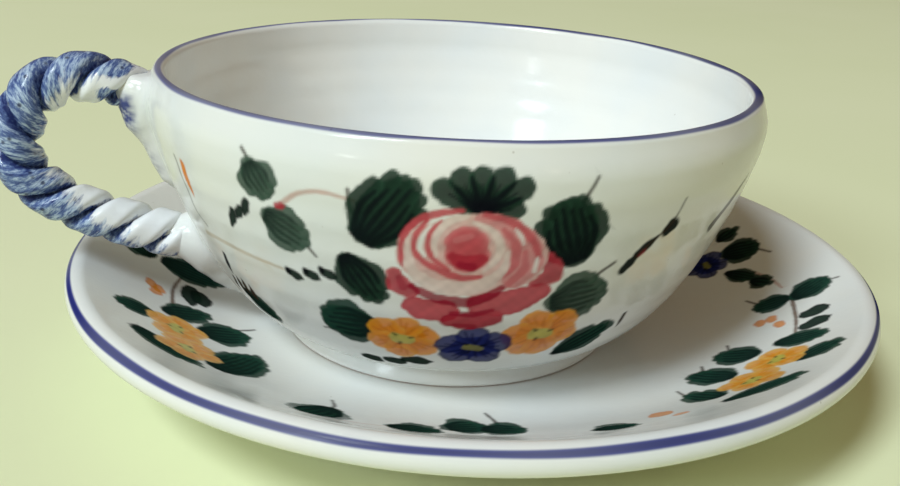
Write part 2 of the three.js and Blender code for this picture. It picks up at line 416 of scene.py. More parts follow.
class Patch:
    """The points round one place, where a motif is painted in flat millimetres."""

    def __init__(self, painting, points, x, y):
        self.painting = painting
        self.points = points
        self.x = x
        self.y = y

    def brush(self, path, widths, colour, load=1.0, pooled=None, edge=BRUSH_EDGE):
        """One stroke along a path, its widths spread evenly, its pigment pooled towards its edges."""
        line = smooth_path(np.array(path, float))
        share = np.linspace(0, 1, len(line))
        half = np.interp(share, np.linspace(0, 1, len(widths)), np.array(widths)) / 2
        reach = half.max() + edge
        low = line.min(0) - reach
        high = line.max(0) + reach
        inside = (self.x > low[0]) & (self.x < high[0]) & (self.y > low[1]) & (self.y < high[1])
        near = np.flatnonzero(inside)
        x = self.x[near]
        y = self.y[near]
        margin = np.full(len(near), -1e9)
        for (start, end), (here, there) in zip(zip(line, line[1:]), zip(half, half[1:])):
            step = end - start
            along = ((x - start[0]) * step[0] + (y - start[1]) * step[1]) / max(step @ step, 1e-9)
            along = np.clip(along, 0, 1)
            distance = np.hypot(x - start[0] - along * step[0], y - start[1] - along * step[1])
            margin = np.maximum(margin, here + along * (there - here) - distance)
        wavering = self.painting.chance.uniform(0, 6.28, 3)
        grain = np.sin(3.1 * x + wavering[0]) * np.sin(2.7 * y + wavering[1])
        grain += np.sin(1.3 * x - 1.7 * y + wavering[2])
        waver = BRUSH_WAVER * min(1.0, half.max() / 1.5)
        cover = smoothstep((margin + waver * grain) / edge + 0.5) * load
        shade = np.asarray(colour) * np.ones((len(near), 1))
        if pooled is not None:
            pool = np.exp(-np.maximum(margin, 0) / POOL_WIDTH)[:, None] * POOL_STRENGTH
            shade = shade * (1 - pool) + np.asarray(pooled) * pool
        shade = shade * (1 + PIGMENT_GRAIN * grain[:, None])
        self.painting.lay(self.points[near], cover, np.clip(shade, 0, 1))


def smooth_path(points, steps=6):
    """A smooth line through a few points."""
    if len(points) == 2:
        return points
    ends = np.vstack([2 * points[0] - points[1], points, 2 * points[-1] - points[-2]])
    share = np.linspace(0, 1, steps, endpoint=False)[:, None]
    parts = []
    for before, here, there, after in zip(ends, ends[1:], ends[2:], ends[3:]):
        parts.append(here + 0.5 * share * (there - before)
                     + share ** 2 * (before - 2.5 * here + 2 * there - 0.5 * after)
                     + share ** 3 * (1.5 * (here - there) + 0.5 * (after - before)))
    return np.vstack([*parts, points[-1:]])


def leaf(painting, base, tip, width, strokes, blunt, stalk, tone):
    """A leaf of brush strokes that fan out from its base, each with a dark rib, and a thin stalk."""
    patch = painting.at(base)
    axis = painting.offset(base, tip)
    length = np.linalg.norm(axis)
    forward = axis / length
    aside = np.array([-forward[1], forward[0]])
    chance = painting.chance

    def place(along, across):
        return along * length * forward + across * width / 2 * aside

    breadth = width / strokes * 1.75
    sides = np.linspace(-1, 1, strokes)
    if stalk is not None:
        far = painting.offset(base, stalk)
        near = place(0.5, 0) if np.linalg.norm(far) > length else place(0.12, 0)
        bend = (near + far) / 2 + 0.12 * np.linalg.norm(far - near) * aside
        patch.brush([near, bend, far], [0.9, 0.7, 0.55], STALK_BROWN, 0.85)
    body = [place(0.2, 0), place(0.5, 0), place(0.74, 0)]
    patch.brush(body, [(0.35 + 0.3 * blunt) * width, 0.78 * width, 0.62 * width], tone[0], 0.95)
    for side in sides:
        inner = 0.86 - 0.08 * blunt
        reach = 0.93 - 0.3 * side ** 2 * (1 - 0.4 * blunt) + chance.uniform(-0.03, 0.03)
        start = place(0.06 + 0.05 * abs(side), blunt * side * 0.55)
        path = [start, place(0.42, side * inner), place(reach, side * 0.74)]
        patch.brush(path, [0.5 * breadth, 1.15 * breadth, 0.95 * breadth], tone[0], 0.96, LEAF_LIGHT)
    for side in np.linspace(-0.84, 0.84, strokes):
        reach = 0.88 - 0.28 * side ** 2 + chance.uniform(-0.06, 0.04)
        path = [place(0.05, blunt * side * 0.5), place(0.4, side * 0.8), place(reach, side * 0.72)]
        patch.brush(path, [0.34 * breadth, 0.36 * breadth, 0.16 * breadth], LEAF_DARK, tone[1])


def turned(place, turn):
    """A place, if there is one, turned about the axis."""
    return None if place is None else (place[0] + turn, place[1])


def leaves(painting, places, tone, turn=0.0):
    """Leaves of one tone, turned about the axis together."""
    for base, tip, width, strokes, blunt, stalk in places:
        ends = [turned(place, turn) for place in (base, tip, stalk)]
        leaf(painting, ends[0], ends[1], width, strokes, blunt, ends[2], tone)


def fan_leaf(painting, base, tips, breadth):
    """A leaf of strokes that spread from one point like a shell."""
    patch = painting.at(base)
    ends = [painting.offset(base, tip) for tip in tips]
    ends = [end * (1 - 0.45 * breadth / np.linalg.norm(end)) for end in ends]
    for end in ends:
        widths = [0.6 * breadth, breadth, breadth]
        patch.brush([0.05 * end, 0.55 * end, end], widths, LEAF_GREEN, 0.96, LEAF_LIGHT)
    for end, other in zip(ends, ends[1:]):
        middle = (end + other) / 2
        patch.brush([0.02 * middle, 0.5 * middle, 1.05 * middle], [1.5, 1.0, 0.4], LEAF_DARK, 0.88)
    for end in ends:
        patch.brush([0.02 * end, 0.45 * end, 0.85 * end], [1.5, 0.7, 0.25], LEAF_DARK, 0.75)


def dab(painting, start, end, width, colour, pooled=None, load=0.98):
    """One short touch of a loaded brush, thick at its start."""
    patch = painting.at(start)
    far = painting.offset(start, end)
    patch.brush([0 * far, 0.5 * far, far], [0.8 * width, width, 0.25 * width], colour, load, pooled)


def stem(painting, places, width, colour, load=0.8):
    """A thin line through some places, thinner towards its end."""
    patch = painting.at(places[0], reach=40.0)
    path = [painting.offset(places[0], place) for place in places]
    patch.brush(path, [width, 0.8 * width, 0.6 * width], colour, load)


def blossom(painting, centre, radius, colours, petals=5, turn=0.0, heart=(HEART_YELLOW, 0.46), flat=1.0):
    """A small flower of broad petals run into each other, with a pale heart and a few dark stamens."""
    patch = painting.at(centre)
    chance = painting.chance
    main, deep, pale = colours
    ground = 1.1 * flat * radius
    patch.brush([(-0.1 * radius, 0), (0.1 * radius, 0)], [ground, ground], main, 0.95)
    for petal in range(petals):
        angle = math.radians(turn + 360 * petal / petals + chance.uniform(-9, 9))
        out = radius * np.array([math.cos(angle), flat * math.sin(angle)])
        across = radius * np.array([-math.sin(angle), flat * math.cos(angle)])
        size = radius * chance.uniform(0.84, 0.98)
        patch.brush([0.34 * out, 0.54 * out], [0.8 * size, size], main, 0.92, pale)
        for share in (-0.22, 0.02, 0.2):
            streak = [0.22 * out + 0.3 * share * across, (0.7 + 0.5 * share) * out + share * across]
            patch.brush(streak, [0.8, 0.35], deep, 0.6)
    middle = [(-0.12 * radius, 0), (0.14 * radius, -0.05 * radius)]
    patch.brush(middle, [heart[1] * radius, 0.85 * heart[1] * radius], heart[0], 0.92)
    for angle in (20, 140, 250):
        spot = 0.22 * radius * np.array([math.cos(math.radians(angle)), math.sin(math.radians(angle))])
        patch.brush([spot, 1.35 * spot], [0.6, 0.4], LEAF_DARK, 0.8)


# Strokes of the rose in order: path and widths in millimetres, pigment, load, pigment pooled at its edge
ROSE_STROKES = [
    # Petals underneath, from their wash to their dark folds
    ([(-10.0, -5.4), (-9.4, -7.4), (-7.8, -8.6)], [2.4, 3.6, 3.0], ROSE_RED, 0.92, CORAL),
    ([(-7.0, -11.6), (-5.4, -12.4), (-2.6, -12.4)], [3.8, 4.8, 4.8], CORAL, 0.95, ROSE_RED),
    ([(-1.4, -14.6), (1.8, -14.7), (4.8, -13.8)], [3.2, 4.0, 3.4], ROSE_RED, 0.95, CRIMSON),
    ([(3.2, -10.8), (7.6, -10.2), (11.4, -8.2)], [5.2, 5.6, 3.4], CORAL, 0.95, ROSE_RED),
    ([(10.6, -0.6), (12.4, -2.8), (13.0, -5.0), (10.6, -6.2)], [1.8, 3.2, 3.2, 2.4], ROSE_RED, 0.92, CORAL),
    ([(-1.4, -12.8), (1.6, -13.0), (4.6, -12.0)], [0.9, 1.4, 0.7], CRIMSON, 0.8, None),
    ([(-0.8, -15.6), (2.0, -15.8)], [0.8, 1.0], CRIMSON, 0.6, None),
    ([(-9.4, -6.0), (-8.6, -8.0)], [1.0, 1.4], CRIMSON, 0.5, None),
    # Cup of the rose: a pale wash, then coral over its right half
    ([(-5.0, -1.2), (0.8, -1.4), (6.0, -1.6)], [9.8, 14.8, 11.6], BLUSH, 1.0, None),
    ([(1.6, 5.5), (5.4, 4.0), (8.0, 1.2), (8.8, -2.4), (7.2, -5.8)],
     [1.6, 3.4, 4.6, 5.0, 3.4], CORAL_PALE, 0.95, None),
    ([(2.2, 6.0), (6.2, 4.7), (9.2, 1.8), (10.5, -1.4)], [0.9, 1.3, 1.3, 0.9], CORAL, 0.8, None),
    ([(5.0, 3.6), (6.9, 0.9), (6.9, -2.6), (4.9, -5.6)], [0.7, 1.4, 1.4, 0.8], CORAL, 0.62, None),
    ([(8.4, -0.4), (8.5, -3.4), (6.6, -6.4)], [0.7, 1.4, 1.2], CORAL, 0.55, None),
    ([(-0.9, 6.5), (-4.3, 5.9), (-6.8, 4.6), (-8.5, 2.3), (-9.1, -0.7), (-8.9, -3.5)],
     [0.8, 1.3, 1.3, 1.2, 1.1, 0.8], CORAL, 0.92, None),
    # Rings of bare white between rings of coral, from the outside in
    ([(-6.2, 4.3), (-7.7, 2.1), (-8.2, -1.3), (-7.3, -4.6), (-4.8, -6.9), (-0.6, -7.5), (3.2, -6.4),
      (5.4, -3.6), (5.9, -0.4)],
     [0.5, 0.9, 1.2, 1.9, 2.7, 3.0, 2.6, 1.4, 0.6], PALE_BLUSH, 0.9, None),
    ([(-7.4, -7.6), (-4.2, -9.5), (0.3, -10.3), (3.8, -8.9), (5.6, -7.2)],
     [1.2, 1.9, 2.3, 1.9, 1.0], CRIMSON, 0.88, None),
    ([(-5.7, 4.6), (-7.1, 2.1), (-7.3, -0.5), (-6.0, -2.5), (-3.4, -4.1), (-0.6, -5.3), (2.2, -5.0)],
     [0.7, 0.9, 0.9, 1.0, 1.3, 1.4, 0.8], CORAL, 0.9, None),
    ([(-5.1, 3.7), (-6.2, 1.6), (-6.5, -0.1), (-5.7, -1.5)], [0.4, 0.8, 0.8, 0.4], BARE, 0.95, None),
    ([(-3.7, 4.6), (-5.1, 2.6), (-5.4, 0.3), (-4.6, -1.9), (-2.3, -3.9)],
     [0.6, 0.8, 0.8, 0.9, 0.8], CORAL, 0.9, None),
    ([(-0.3, 5.6), (-2.5, 4.8), (-3.9, 3.0), (-4.5, 0.7), (-4.1, -1.4)],
     [0.9, 1.2, 1.1, 0.9, 0.5], PALE_BLUSH, 0.97, None),
    ([(0.8, 4.7), (3.6, 3.2), (4.7, 0.5), (4.3, -1.9), (2.7, -4.0)],
     [0.6, 1.1, 1.3, 1.1, 0.5], PALE_BLUSH, 0.95, None),
    ([(6.6, 3.7), (7.5, 2.4), (8.0, 1.1)], [0.3, 0.7, 0.4], BARE, 0.75, None),
    ([(10.3, -1.5), (10.1, -4.0)], [0.4, 0.8], BARE, 0.75, None),
    # Heart of the rose
    ([(0.0, 0.9), (0.2, -1.0)], [6.3, 6.4], CORAL, 0.97, CORAL_PALE),
    ([(-1.8, -1.5), (0.4, -2.5), (2.4, -1.7)], [1.8, 3.0, 1.8], ROSE_RED, 0.88, None),
    ([(-0.6, -2.9), (0.9, -3.2)], [1.4, 1.7], CRIMSON, 0.7, None),
    ([(-1.4, 1.7), (0.4, 2.4)], [1.2, 1.0], CORAL_PALE, 0.35, None),
]


def rose(painting, centre):
    """The large rose: a red ball in white and coral rings, with crimson petals hanging under it."""
    patch = painting.at(centre)
    for path, widths, colour, load, pooled in ROSE_STROKES:
        patch.brush(path, widths, colour, load, pooled)


ORANGES = (ORANGE, ORANGE_DEEP, ORANGE_PALE)
AMBERS = (AMBER, ORANGE, AMBER_PALE)
INDIGOS = (INDIGO, INDIGO_DARK, INDIGO_DARK)
DIM_HEART = (HEART_OLIVE, 0.3)


def lip_line(painting, run, width, strength, swell, front_wear):
    """The blue line round a lip, drawn on the turning wheel, fuller on the right, where the brush was full,
    and darkened there with painted shade.

    Swell is how much wider it is there, and front wear how much thinner its pigment is at the front.
    """
    turn = np.radians(painting.bearing)
    right_fullness_and_shade = np.sin(turn)
    sway = 0.12 * np.sin(3 * turn + 1) + 0.07 * np.sin(7 * turn + 2) + 0.05 * np.sin(17 * turn)
    thick = width * (1 + swell * right_fullness_and_shade + 0.1 * np.sin(5 * turn + 0.4) + 0.07 * np.sin(11 * turn + 1.3))
    margin = thick / 2 - np.abs(painting.run - run - sway)
    points = np.flatnonzero(margin > -0.4)
    right_fullness_and_shade = right_fullness_and_shade[points]
    turn = turn[points]
    load = strength + swell / 3 * right_fullness_and_shade + 0.06 * np.sin(4 * turn + 0.5) * np.sin(9 * turn + 1.1)
    load -= front_wear * np.exp(6.8 * (np.cos(turn + 0.21) - 1))
    shade = smoothstep(margin[points] / (0.4 * width))[:, None]
    colour = np.array(LINE_BLUE) * (1 - shade) + np.array(LINE_BLUE_DARK) * shade
    # Painted shade: the line grows darker towards the right, the side away from the lamps
    colour *= 1 - 0.4 * np.maximum(right_fullness_and_shade, 0)[:, None]
    painting.lay(points, smoothstep(margin[points] / 0.45 + 0.5) * np.minimum(load, 1), colour)


DEEP_LEAF = (LEAF_GREEN, 0.78)
SOFT_LEAF = (LEAF_SOFT, 0.6)
FAINT_LEAF = (LEAF_FAINT, 0.5)


# Places of the cup's painting: degrees round from its front, and millimetres up the wall
# Leaves: base, tip, width, number of strokes, bluntness of the base, and end of the stalk
CUP_DEEP_LEAVES = [
    ((-28.9, 37.6), (-20.6, 48.6), 9.8, 6, 0.8, (-30.0, 46.3)),
    ((5.6, 35.0), (1.2, 46.2), 10.2, 6, 0.75, (5.9, 49.4)),
    ((-32.0, 35.2), (-26.8, 26.2), 7.2, 5, 0.6, None),
]
CUP_SOFT_LEAVES = [
    ((-28.2, 20.4), (-39.2, 19.6), 9.8, 6, 0.7, (-40.4, 16.8)),
    ((9.0, 11.8), (20.2, 19.4), 6.0, 4, 0.4, None),
    ((-64.4, 18.4), (-55.8, 12.6), 5.6, 4, 0.5, None),
]
CUP_FAINT_LEAVES = [
    ((3.0, 27.0), (13.0, 28.6), 9.6, 6, 0.7, (12.9, 34.2)),
    ((-47.0, 47.6), (-44.2, 42.8), 6.8, 5, 0.7, (-48.0, 49.6)),
    ((-45.6, 39.4), (-38.4, 35.8), 7.4, 5, 0.7, (-37.0, 33.6)),
]
FAN_TIPS = [(-17.6, 48.4), (-14.6, 50.6), (-11.0, 51.0), (-7.2, 50.8), (-3.8, 49.0), (-4.6, 45.4)]
LEAF_SPOTS = [(-42.5, 28.9), (-38.6, 29.7), (-35.3, 30.7)]
SIDE_TOUCHES = [
    ((-49.0, 40.6), (-50.4, 38.0)),
    ((-51.0, 39.0), (-52.6, 37.0)),
    ((-53.2, 38.0), (-54.8, 34.8)),
]
TEETH = [(-64.2, 18.2), (-62.0, 18.2), (-59.8, 17.6)]
TWIG_TOUCHES = [
    ((15.4, 32.0), (17.4, 35.0), 2.0),
    ((17.2, 35.0), (20.4, 38.0), 1.9),
    ((22.0, 38.6), (23.6, 40.4), 2.7),
]
FOOT_TOUCHES = [((-33.0, 9.2), (-30.4, 8.2)), ((-27.6, 9.4), (-24.4, 9.2)), ((-23.0, 10.6), (-18.2, 10.8))]
BACK_ORANGES = [((146.0, 32.0), 6.0, 10.0), ((158.0, 30.0), 5.4, 40.0), ((68.0, 37.0), 4.6, 20.0)]
BACK_INDIGOS = [((152.0, 22.0), 5.2), ((98.0, 36.0), 4.2), ((206.0, 34.0), 4.2)]
CUP_BACK_LEAVES = [
    ((64.0, 40.0), (56.0, 38.5), 6.4, 5, 0.5, None),
    ((68.0, 33.0), (74.0, 24.0), 7.0, 5, 0.5, None),
    ((142.0, 38.0), (131.0, 43.5), 8.4, 6, 0.6, None),
    ((158.0, 40.0), (166.0, 48.0), 8.0, 6, 0.6, None),
    ((140.0, 26.0), (130.0, 22.0), 7.4, 5, 0.5, None),
    ((163.0, 26.0), (173.0, 21.0), 7.4, 5, 0.5, None),
    ((205.0, 38.0), (213.0, 43.0), 6.4, 5, 0.5, None),
    ((207.0, 30.0), (214.0, 24.0), 6.0, 5, 0.5, None),
    ((95.0, 40.0), (104.0, 44.5), 6.4, 5, 0.5, None),
    ((96.0, 31.0), (88.0, 25.0), 6.2, 5, 0.5, None),
]


def paint_cup(bearing, run):
    """The whole painting of the cup's outside, with the rose at its front."""
    painting = Painting(wall_flat, bearing, run, seed=11)
    stem(painting, [(-41.6, 42.0), (-38.3, 44.3), (-34.4, 45.3), (-29.2, 44.7)], 0.9, TENDRIL_PINK, 0.7)
    stem(painting, [(-67.0, 29.7), (-60.6, 30.0), (-52.0, 29.6), (-45.2, 29.2)], 1.0, TENDRIL_OCHRE, 0.55)
    leaves(painting, CUP_DEEP_LEAVES, DEEP_LEAF)
    leaves(painting, CUP_SOFT_LEAVES, SOFT_LEAF)
    leaves(painting, CUP_FAINT_LEAVES, FAINT_LEAF)
    fan_leaf(painting, (-10.8, 44.2), FAN_TIPS, 3.6)
    dab(painting, (-42.6, 41.5), (-41.0, 41.7), 1.3, ROSE_RED, load=0.85)
    for side, up in LEAF_SPOTS:
        dab(painting, (side - 1.1, up), (side + 1.3, up - 0.8), 2.1, LEAF_GREEN, LEAF_DARK)
        dab(painting, (side - 1.2, up), (side - 1.5, up + 0.9), 1.0, LEAF_DARK)
    for start, end in SIDE_TOUCHES:
        dab(painting, start, end, 1.8, LEAF_GREEN, LEAF_DARK)
    dab(painting, (-66.0, 43.0), (-65.6, 37.2), 1.7, ORANGE, ORANGE_DEEP)
    stem(painting, [(-68.6, 43.6), (-68.0, 40.0), (-67.4, 34.0), (-65.2, 31.6)], 0.7, STALK_BROWN, 0.6)
    dab(painting, (-63.4, 26.4), (-64.8, 21.6), 1.3, LEAF_DARK)
    dab(painting, (-66.0, 20.4), (-67.4, 16.4), 1.1, STALK_BROWN)
    for side, up in TEETH:
        dab(painting, (side, up), (side + 0.4, up + 3.2), 1.4, STALK_BROWN)
    for start, end, width in TWIG_TOUCHES:
        dab(painting, start, end, width, LEAF_DARK, LEAF_GREEN)
    dab(painting, (17.8, 34.8), (18.8, 35.8), 0.9, ROSE_RED, load=0.6)
    stem(painting, [(17.0, 34.6), (21.4, 38.6), (23.2, 41.4), (23.8, 44.0)], 0.7, STALK_BROWN, 0.7)
    stem(painting, [(37.2, 35.8), (41.2, 39.4), (46.4, 43.0)], 2.0, STALK_BROWN, 0.8)
    dab(painting, (23.0, 20.6), (23.4, 17.0), 1.0, STALK_BROWN)
    leaves(painting, CUP_BACK_LEAVES, DEEP_LEAF)
    stem(painting, [(100.0, 36.0), (116.0, 40.0), (132.0, 37.0)], 0.8, TENDRIL_PINK, 0.7)
    stem(painting, [(172.0, 37.0), (188.0, 40.0), (204.0, 36.0)], 0.8, TENDRIL_PINK, 0.7)
    for centre, size, turn in BACK_ORANGES:
        blossom(painting, centre, size, ORANGES, turn=turn)
    for centre, size in BACK_INDIGOS:
        blossom(painting, centre, size, INDIGOS, turn=30.0, heart=DIM_HEART)
    for middle in (78.0, 120.0, 186.0, 228.0):
        for step in (-3.4, 0.0, 3.4):
            side = middle + step
            dab(painting, (side - 1.3, 30.0), (side + 1.4, 29.6), 1.7, LEAF_GREEN, LEAF_DARK)
    for start, end in FOOT_TOUCHES:
        dab(painting, start, end, 3.4, LEAF_GREEN, LEAF_DARK)
    blossom(painting, (-23.4, 17.8), 6.0, ORANGES, petals=6, turn=15.0)
    blossom(painting, (3.6, 19.6), 6.4, ORANGES, petals=6, turn=-10.0)
    blossom(painting, (-9.4, 16.4), 6.2, INDIGOS, petals=5, turn=18.0, heart=DIM_HEART, flat=0.85)
    rose(painting, (-12.5, 38.0))
    lip_line(painting, BOWL.joints[2] + 1.5, width=1.65, strength=0.86, swell=0.18, front_wear=0.0)
    return painting.colour


# Places of the saucer's painting: degrees round from its front, and millimetres out along its surface
SPRAY_LEAVES = [
    ((48.5, 58.0), (50.5, 50.0), 7.0, 5, 0.8, (55.5, 51.2)),
    ((38.5, 56.6), (40.5, 48.0), 7.2, 5, 0.8, (45.0, 48.4)),
    ((27.5, 60.6), (30.0, 52.0), 5.6, 4, 0.8, (31.0, 49.4)),
    ((23.1, 63.6), (34.8, 71.6), 5.2, 4, 0.8, None),
    ((52.0, 60.0), (50.3, 70.4), 5.8, 5, 0.7, None),
    ((40.6, 66.6), (46.0, 73.2), 5.2, 4, 0.7, None),
    ((68.4, 64.4), (70.4, 72.0), 7.4, 6, 0.8, (69.3, 73.8)),
    ((69.2, 64.0), (70.0, 57.0), 5.8, 5, 0.8, (74.5, 56.4)),
]
SPRAY_FLOWERS = [(43.8, 62.4), (34.8, 61.6)]
SPRAY_STEM = [(68.8, 64.4), (60.2, 64.0), (53.0, 64.0)]
SPRAY_DABS = [((60.3, 66.2), (60.7, 69.9)), ((55.6, 66.1), (56.7, 70.0))]
SPRAY_BUDS = [(63.1, 57.4, 2.3), (63.4, 59.6, 2.3), (60.2, 61.0, 2.3), (18.0, 56.2, 3.8), (18.2, 60.6, 2.3)]
BACK_SPRAY_TURN = 124.0

LEFT_LEAVES = [
    ((-82.6, 61.2), (-88.2, 51.4), 6.0, 5, 0.7, None),
    ((-78.2, 54.4), (-79.8, 45.2), 8.8, 6, 0.8, (-83.4, 43.2)),
    ((-59.5, 60.2), (-68.8, 46.2), 9.8, 7, 0.8, None),
    ((-79.6, 62.6), (-79.8, 70.4), 5.8, 5, 0.7, None),
    ((-71.4, 70.0), (-58.0, 63.2), 6.4, 5, 0.8, None),
    ((-103.4, 63.6), (-105.6, 49.8), 8.0, 6, 0.7, None),
    ((-103.0, 64.4), (-104.0, 72.0), 6.6, 5, 0.7, None),
]
LEFT_FLOWERS = [(-76.4, 59.4), (-67.4, 60.6)]
LEFT_STEM = [(-86.0, 58.6), (-94.0, 58.7), (-101.6, 57.9)]
LEFT_DABS = [((-97.0, 55.4), (-90.6, 54.8)), ((-96.0, 53.6), (-92.0, 52.2))]
LEFT_BUDS = [(-92.4, 63.2, 2.6), (-90.0, 62.2, 2.6), (-91.4, 61.6, 2.6)]

FRONT_LEAVES = [
    ((-40.6, 50.6), (-37.8, 64.6), 8.6, 5, 0.7, (-43.2, 47.2)),
    ((-28.4, 54.0), (-20.0, 53.8), 8.0, 5, 0.7, None),
    ((-18.8, 49.8), (-12.4, 47.8), 8.6, 6, 0.8, None),
    ((-12.6, 49.0), (-5.4, 50.6), 7.6, 5, 0.7, (-11.2, 41.6)),
    ((4.8, 57.0), (10.6, 58.4), 7.2, 4, 0.6, None),
]

POSY_LEAVES = [
    ((95.0, 60.6), (90.8, 66.8), 8.0, 6, 0.8, (87.2, 67.6)),
    ((88.9, 57.2), (81.2, 61.2), 3.8, 4, 0.6, None),
    ((81.6, 59.8), (77.4, 62.6), 3.4, 3, 0.6, None),
    ((99.6, 62.6), (99.2, 68.2), 3.6, 3, 0.5, None),
]
POSY_FLOWER = (94.6, 55.8)
POSY_TENDRIL = [(83.3, 61.8), (78.4, 63.2), (73.9, 63.8)]
BACK_POSY_TURN = 122.0


def spray(painting, leaf_places, flowers, size, stalk, dabs, buds, turn=0.0):
    """Two orange flowers run together among leaves, with a stalk that goes on to a pair of leaves."""
    stem(painting, [turned(place, turn) for place in stalk], 0.9, STEM_BROWN, 0.9)
    leaves(painting, leaf_places, SOFT_LEAF, turn)
    for start, end in dabs:
        dab(painting, turned(start, turn), turned(end, turn), 4.4, LEAF_GREEN, LEAF_DARK)
    for flower, place in enumerate(flowers):
        blossom(painting, turned(place, turn), size, AMBERS, turn=20.0 + 30 * flower)
    for bearing, reach, width in buds:
        start = (bearing + turn - 0.8, reach)
        end = (bearing + turn + 1.0, reach - 0.4)
        dab(painting, start, end, width, ORANGE, ORANGE_DEEP, 0.82)


def posy(painting, turn=0.0):
    """A blue flower with a round leaf outside it, and small leaves that lead to the next spray."""
    stem(painting, [turned(place, turn) for place in POSY_TENDRIL], 0.9, TENDRIL_PINK, 0.7)
    leaves(painting, POSY_LEAVES, DEEP_LEAF, turn)
    blossom(painting, turned(POSY_FLOWER, turn), 5.2, INDIGOS, turn=10.0, heart=DIM_HEART)


def paint_saucer(bearing, run):
    """The saucer's ring of sprays and posies, and the line on its lip."""
    painting = Painting(dish_flat, bearing, run, seed=23)
    stem(painting, [(-33.8, 60.0), (-31.0, 57.6), (-28.4, 55.2)], 0.9, TENDRIL_PINK, 0.6)
    leaves(painting, FRONT_LEAVES, SOFT_LEAF)
    posy(painting)
    posy(painting, BACK_POSY_TURN)
    spray(painting, LEFT_LEAVES, LEFT_FLOWERS, 6.2, LEFT_STEM, LEFT_DABS, LEFT_BUDS)
    for turn in (0.0, BACK_SPRAY_TURN):
        spray(painting, SPRAY_LEAVES, SPRAY_FLOWERS, 5.8, SPRAY_STEM, SPRAY_DABS, SPRAY_BUDS, turn)
    painting.colour[run < 0] = 1.0
    lip_line(painting, -3.1, width=1.28, strength=0.955, swell=0.0, front_wear=0.06)
    return painting.colour


# Nodes
def feed(tree, node, inputs):
    """Sets a node's inputs, or links them to a socket or to another node's output."""
    for key, value in inputs.items():
        if isinstance(value, bpy.types.Node):
            value = next(socket for socket in value.outputs if socket.enabled)
        if isinstance(value, bpy.types.NodeSocket):
            tree.links.new(value, node.inputs[key])
        else:
            node.inputs[key].default_value = value


def add(tree, kind, inputs=None, **settings):
    """A new node with its settings and its inputs."""
    node = tree.nodes.new(kind)
    for name, value in settings.items():
        setattr(node, name, value)
    feed(tree, node, inputs or {})
    return node


def calculate(tree, operation, *values):
    """A sum on numbers, by the name of its operation."""
    return add(tree, "ShaderNodeMath", dict(enumerate(values)), operation=operation)


def combine(tree, operation, *vectors):
    """A sum on vectors, by the name of its operation."""
    return add(tree, "ShaderNodeVectorMath", dict(enumerate(vectors)), operation=operation)


def stretched(tree, vector, amount):
    """A vector times a number."""
    return add(tree, "ShaderNodeVectorMath", {0: vector, "Scale": amount}, operation="SCALE")


def scale_of(millimetres):
    """Texture scale at which one cell of a pattern is that long."""
    return 1 / (millimetres * MM)


def noise(tree, where, size, detail, roughness=0.5):
    """A cloudy pattern with clouds of a size in millimetres."""
    return add(tree, "ShaderNodeTexNoise", {"Vector": where, "Scale": scale_of(size), "Detail": detail,
                                            "Roughness": roughness})


def cells(tree, where, size):
    """Distance to the nearest of scattered points, with cells of a size in millimetres."""
    return add(tree, "ShaderNodeTexVoronoi", {"Vector": where, "Scale": scale_of(size)})


def remap(tree, value, low, high, to_low=0.0, to_high=1.0, easing="LINEAR"):
    """A value carried from one range to another and held at its ends."""
    ranges = {"From Min": low, "From Max": high, "To Min": to_low, "To Max": to_high}
    return add(tree, "ShaderNodeMapRange", {"Value": value, **ranges}, interpolation_type=easing)


def blend(tree, share, one, other, kind="MIX"):
    """One colour with a share of another."""
    return add(tree, "ShaderNodeMix", {0: share, 6: one, 7: other}, data_type="RGBA", blend_type=kind)


# Materials
OUTSIDE_WHITE = 0.86
# Painted light: the cup's inside is whiter than its outside so that it reads as brightly lit
INSIDE_WHITE_PAINTED_LIGHT = 0.96
SAUCER_WHITE = 0.89
GLAZE_IOR = 1.35
WARM_WHITE = rgba("#f6f6f0")
COOL_WHITE = rgba("#eff3f2")
SPECK_BROWN = rgba("#8d7c68")
COBALT_STOPS = [(0.34, rgba("#2c376a")), (0.5, rgba("#586d9f")), (0.64, rgba("#b0c3da"))]
COBALT_PIT = rgba("#1c2040")
STRAND_WHITE = rgba("#f0f1f0")
STRAND_GREY = rgba("#dfe3ea")
CLAY_DARK = rgba("#a8704f")
CLAY_LIGHT = rgba("#c38f6b")


def new_material(name):
    """A material, its tree, its shader and the place that its patterns are laid on."""
    material = bpy.data.materials.new(name)
    material.use_nodes = True
    tree = material.node_tree
    return material, tree, tree.nodes["Principled BSDF"], add(tree, "ShaderNodeTexCoord").outputs["Object"]


def glaze_surface(tree, shader, where, waves, peel):
    """Roughness and relief of a poured glaze: slow waves where it ran and a fine orange peel."""
    rough = remap(tree, noise(tree, where, 9, 3), 0.3, 0.7, 0.10, 0.20)
    slow = noise(tree, where, 11, 1)
    fine = noise(tree, where, 1.3, 2)
    run = add(tree, "ShaderNodeBump", {"Height": slow, "Strength": 0.5, "Distance": waves * MM})
    relief = add(tree, "ShaderNodeBump", {"Height": fine, "Strength": 0.4, "Distance": peel * MM,
                                          "Normal": run})
    feed(tree, shader, {"Roughness": rough, "Normal": relief, "IOR": GLAZE_IOR})


def tin_glaze():
    """Opaque white tin glaze: glossy, dull over pigment, warm and cool by turns, with a few dark specks."""
    material, tree, shader, where = new_material("white_tin_glaze")
    tone = remap(tree, noise(tree, where, 26, 3), 0.35, 0.65)
    white = blend(tree, tone, WARM_WHITE, COOL_WHITE)
    dot = remap(tree, cells(tree, where, 7), 0.012, 0.035, 0.35, 0.0)
    speckled = blend(tree, dot, white, SPECK_BROWN)
    paint = add(tree, "ShaderNodeAttribute", attribute_name="paint")
    painted = blend(tree, 1.0, speckled, paint, "MULTIPLY")
    bare = add(tree, "ShaderNodeRGBToBW", {"Color": paint})
    gloss = remap(tree, bare, 0.05, 0.7, 0.0, 0.5)
    feed(tree, shader, {"Base Color": painted, "Specular IOR Level": gloss})
    glaze_surface(tree, shader, where, waves=0.22, peel=0.05)
    return material


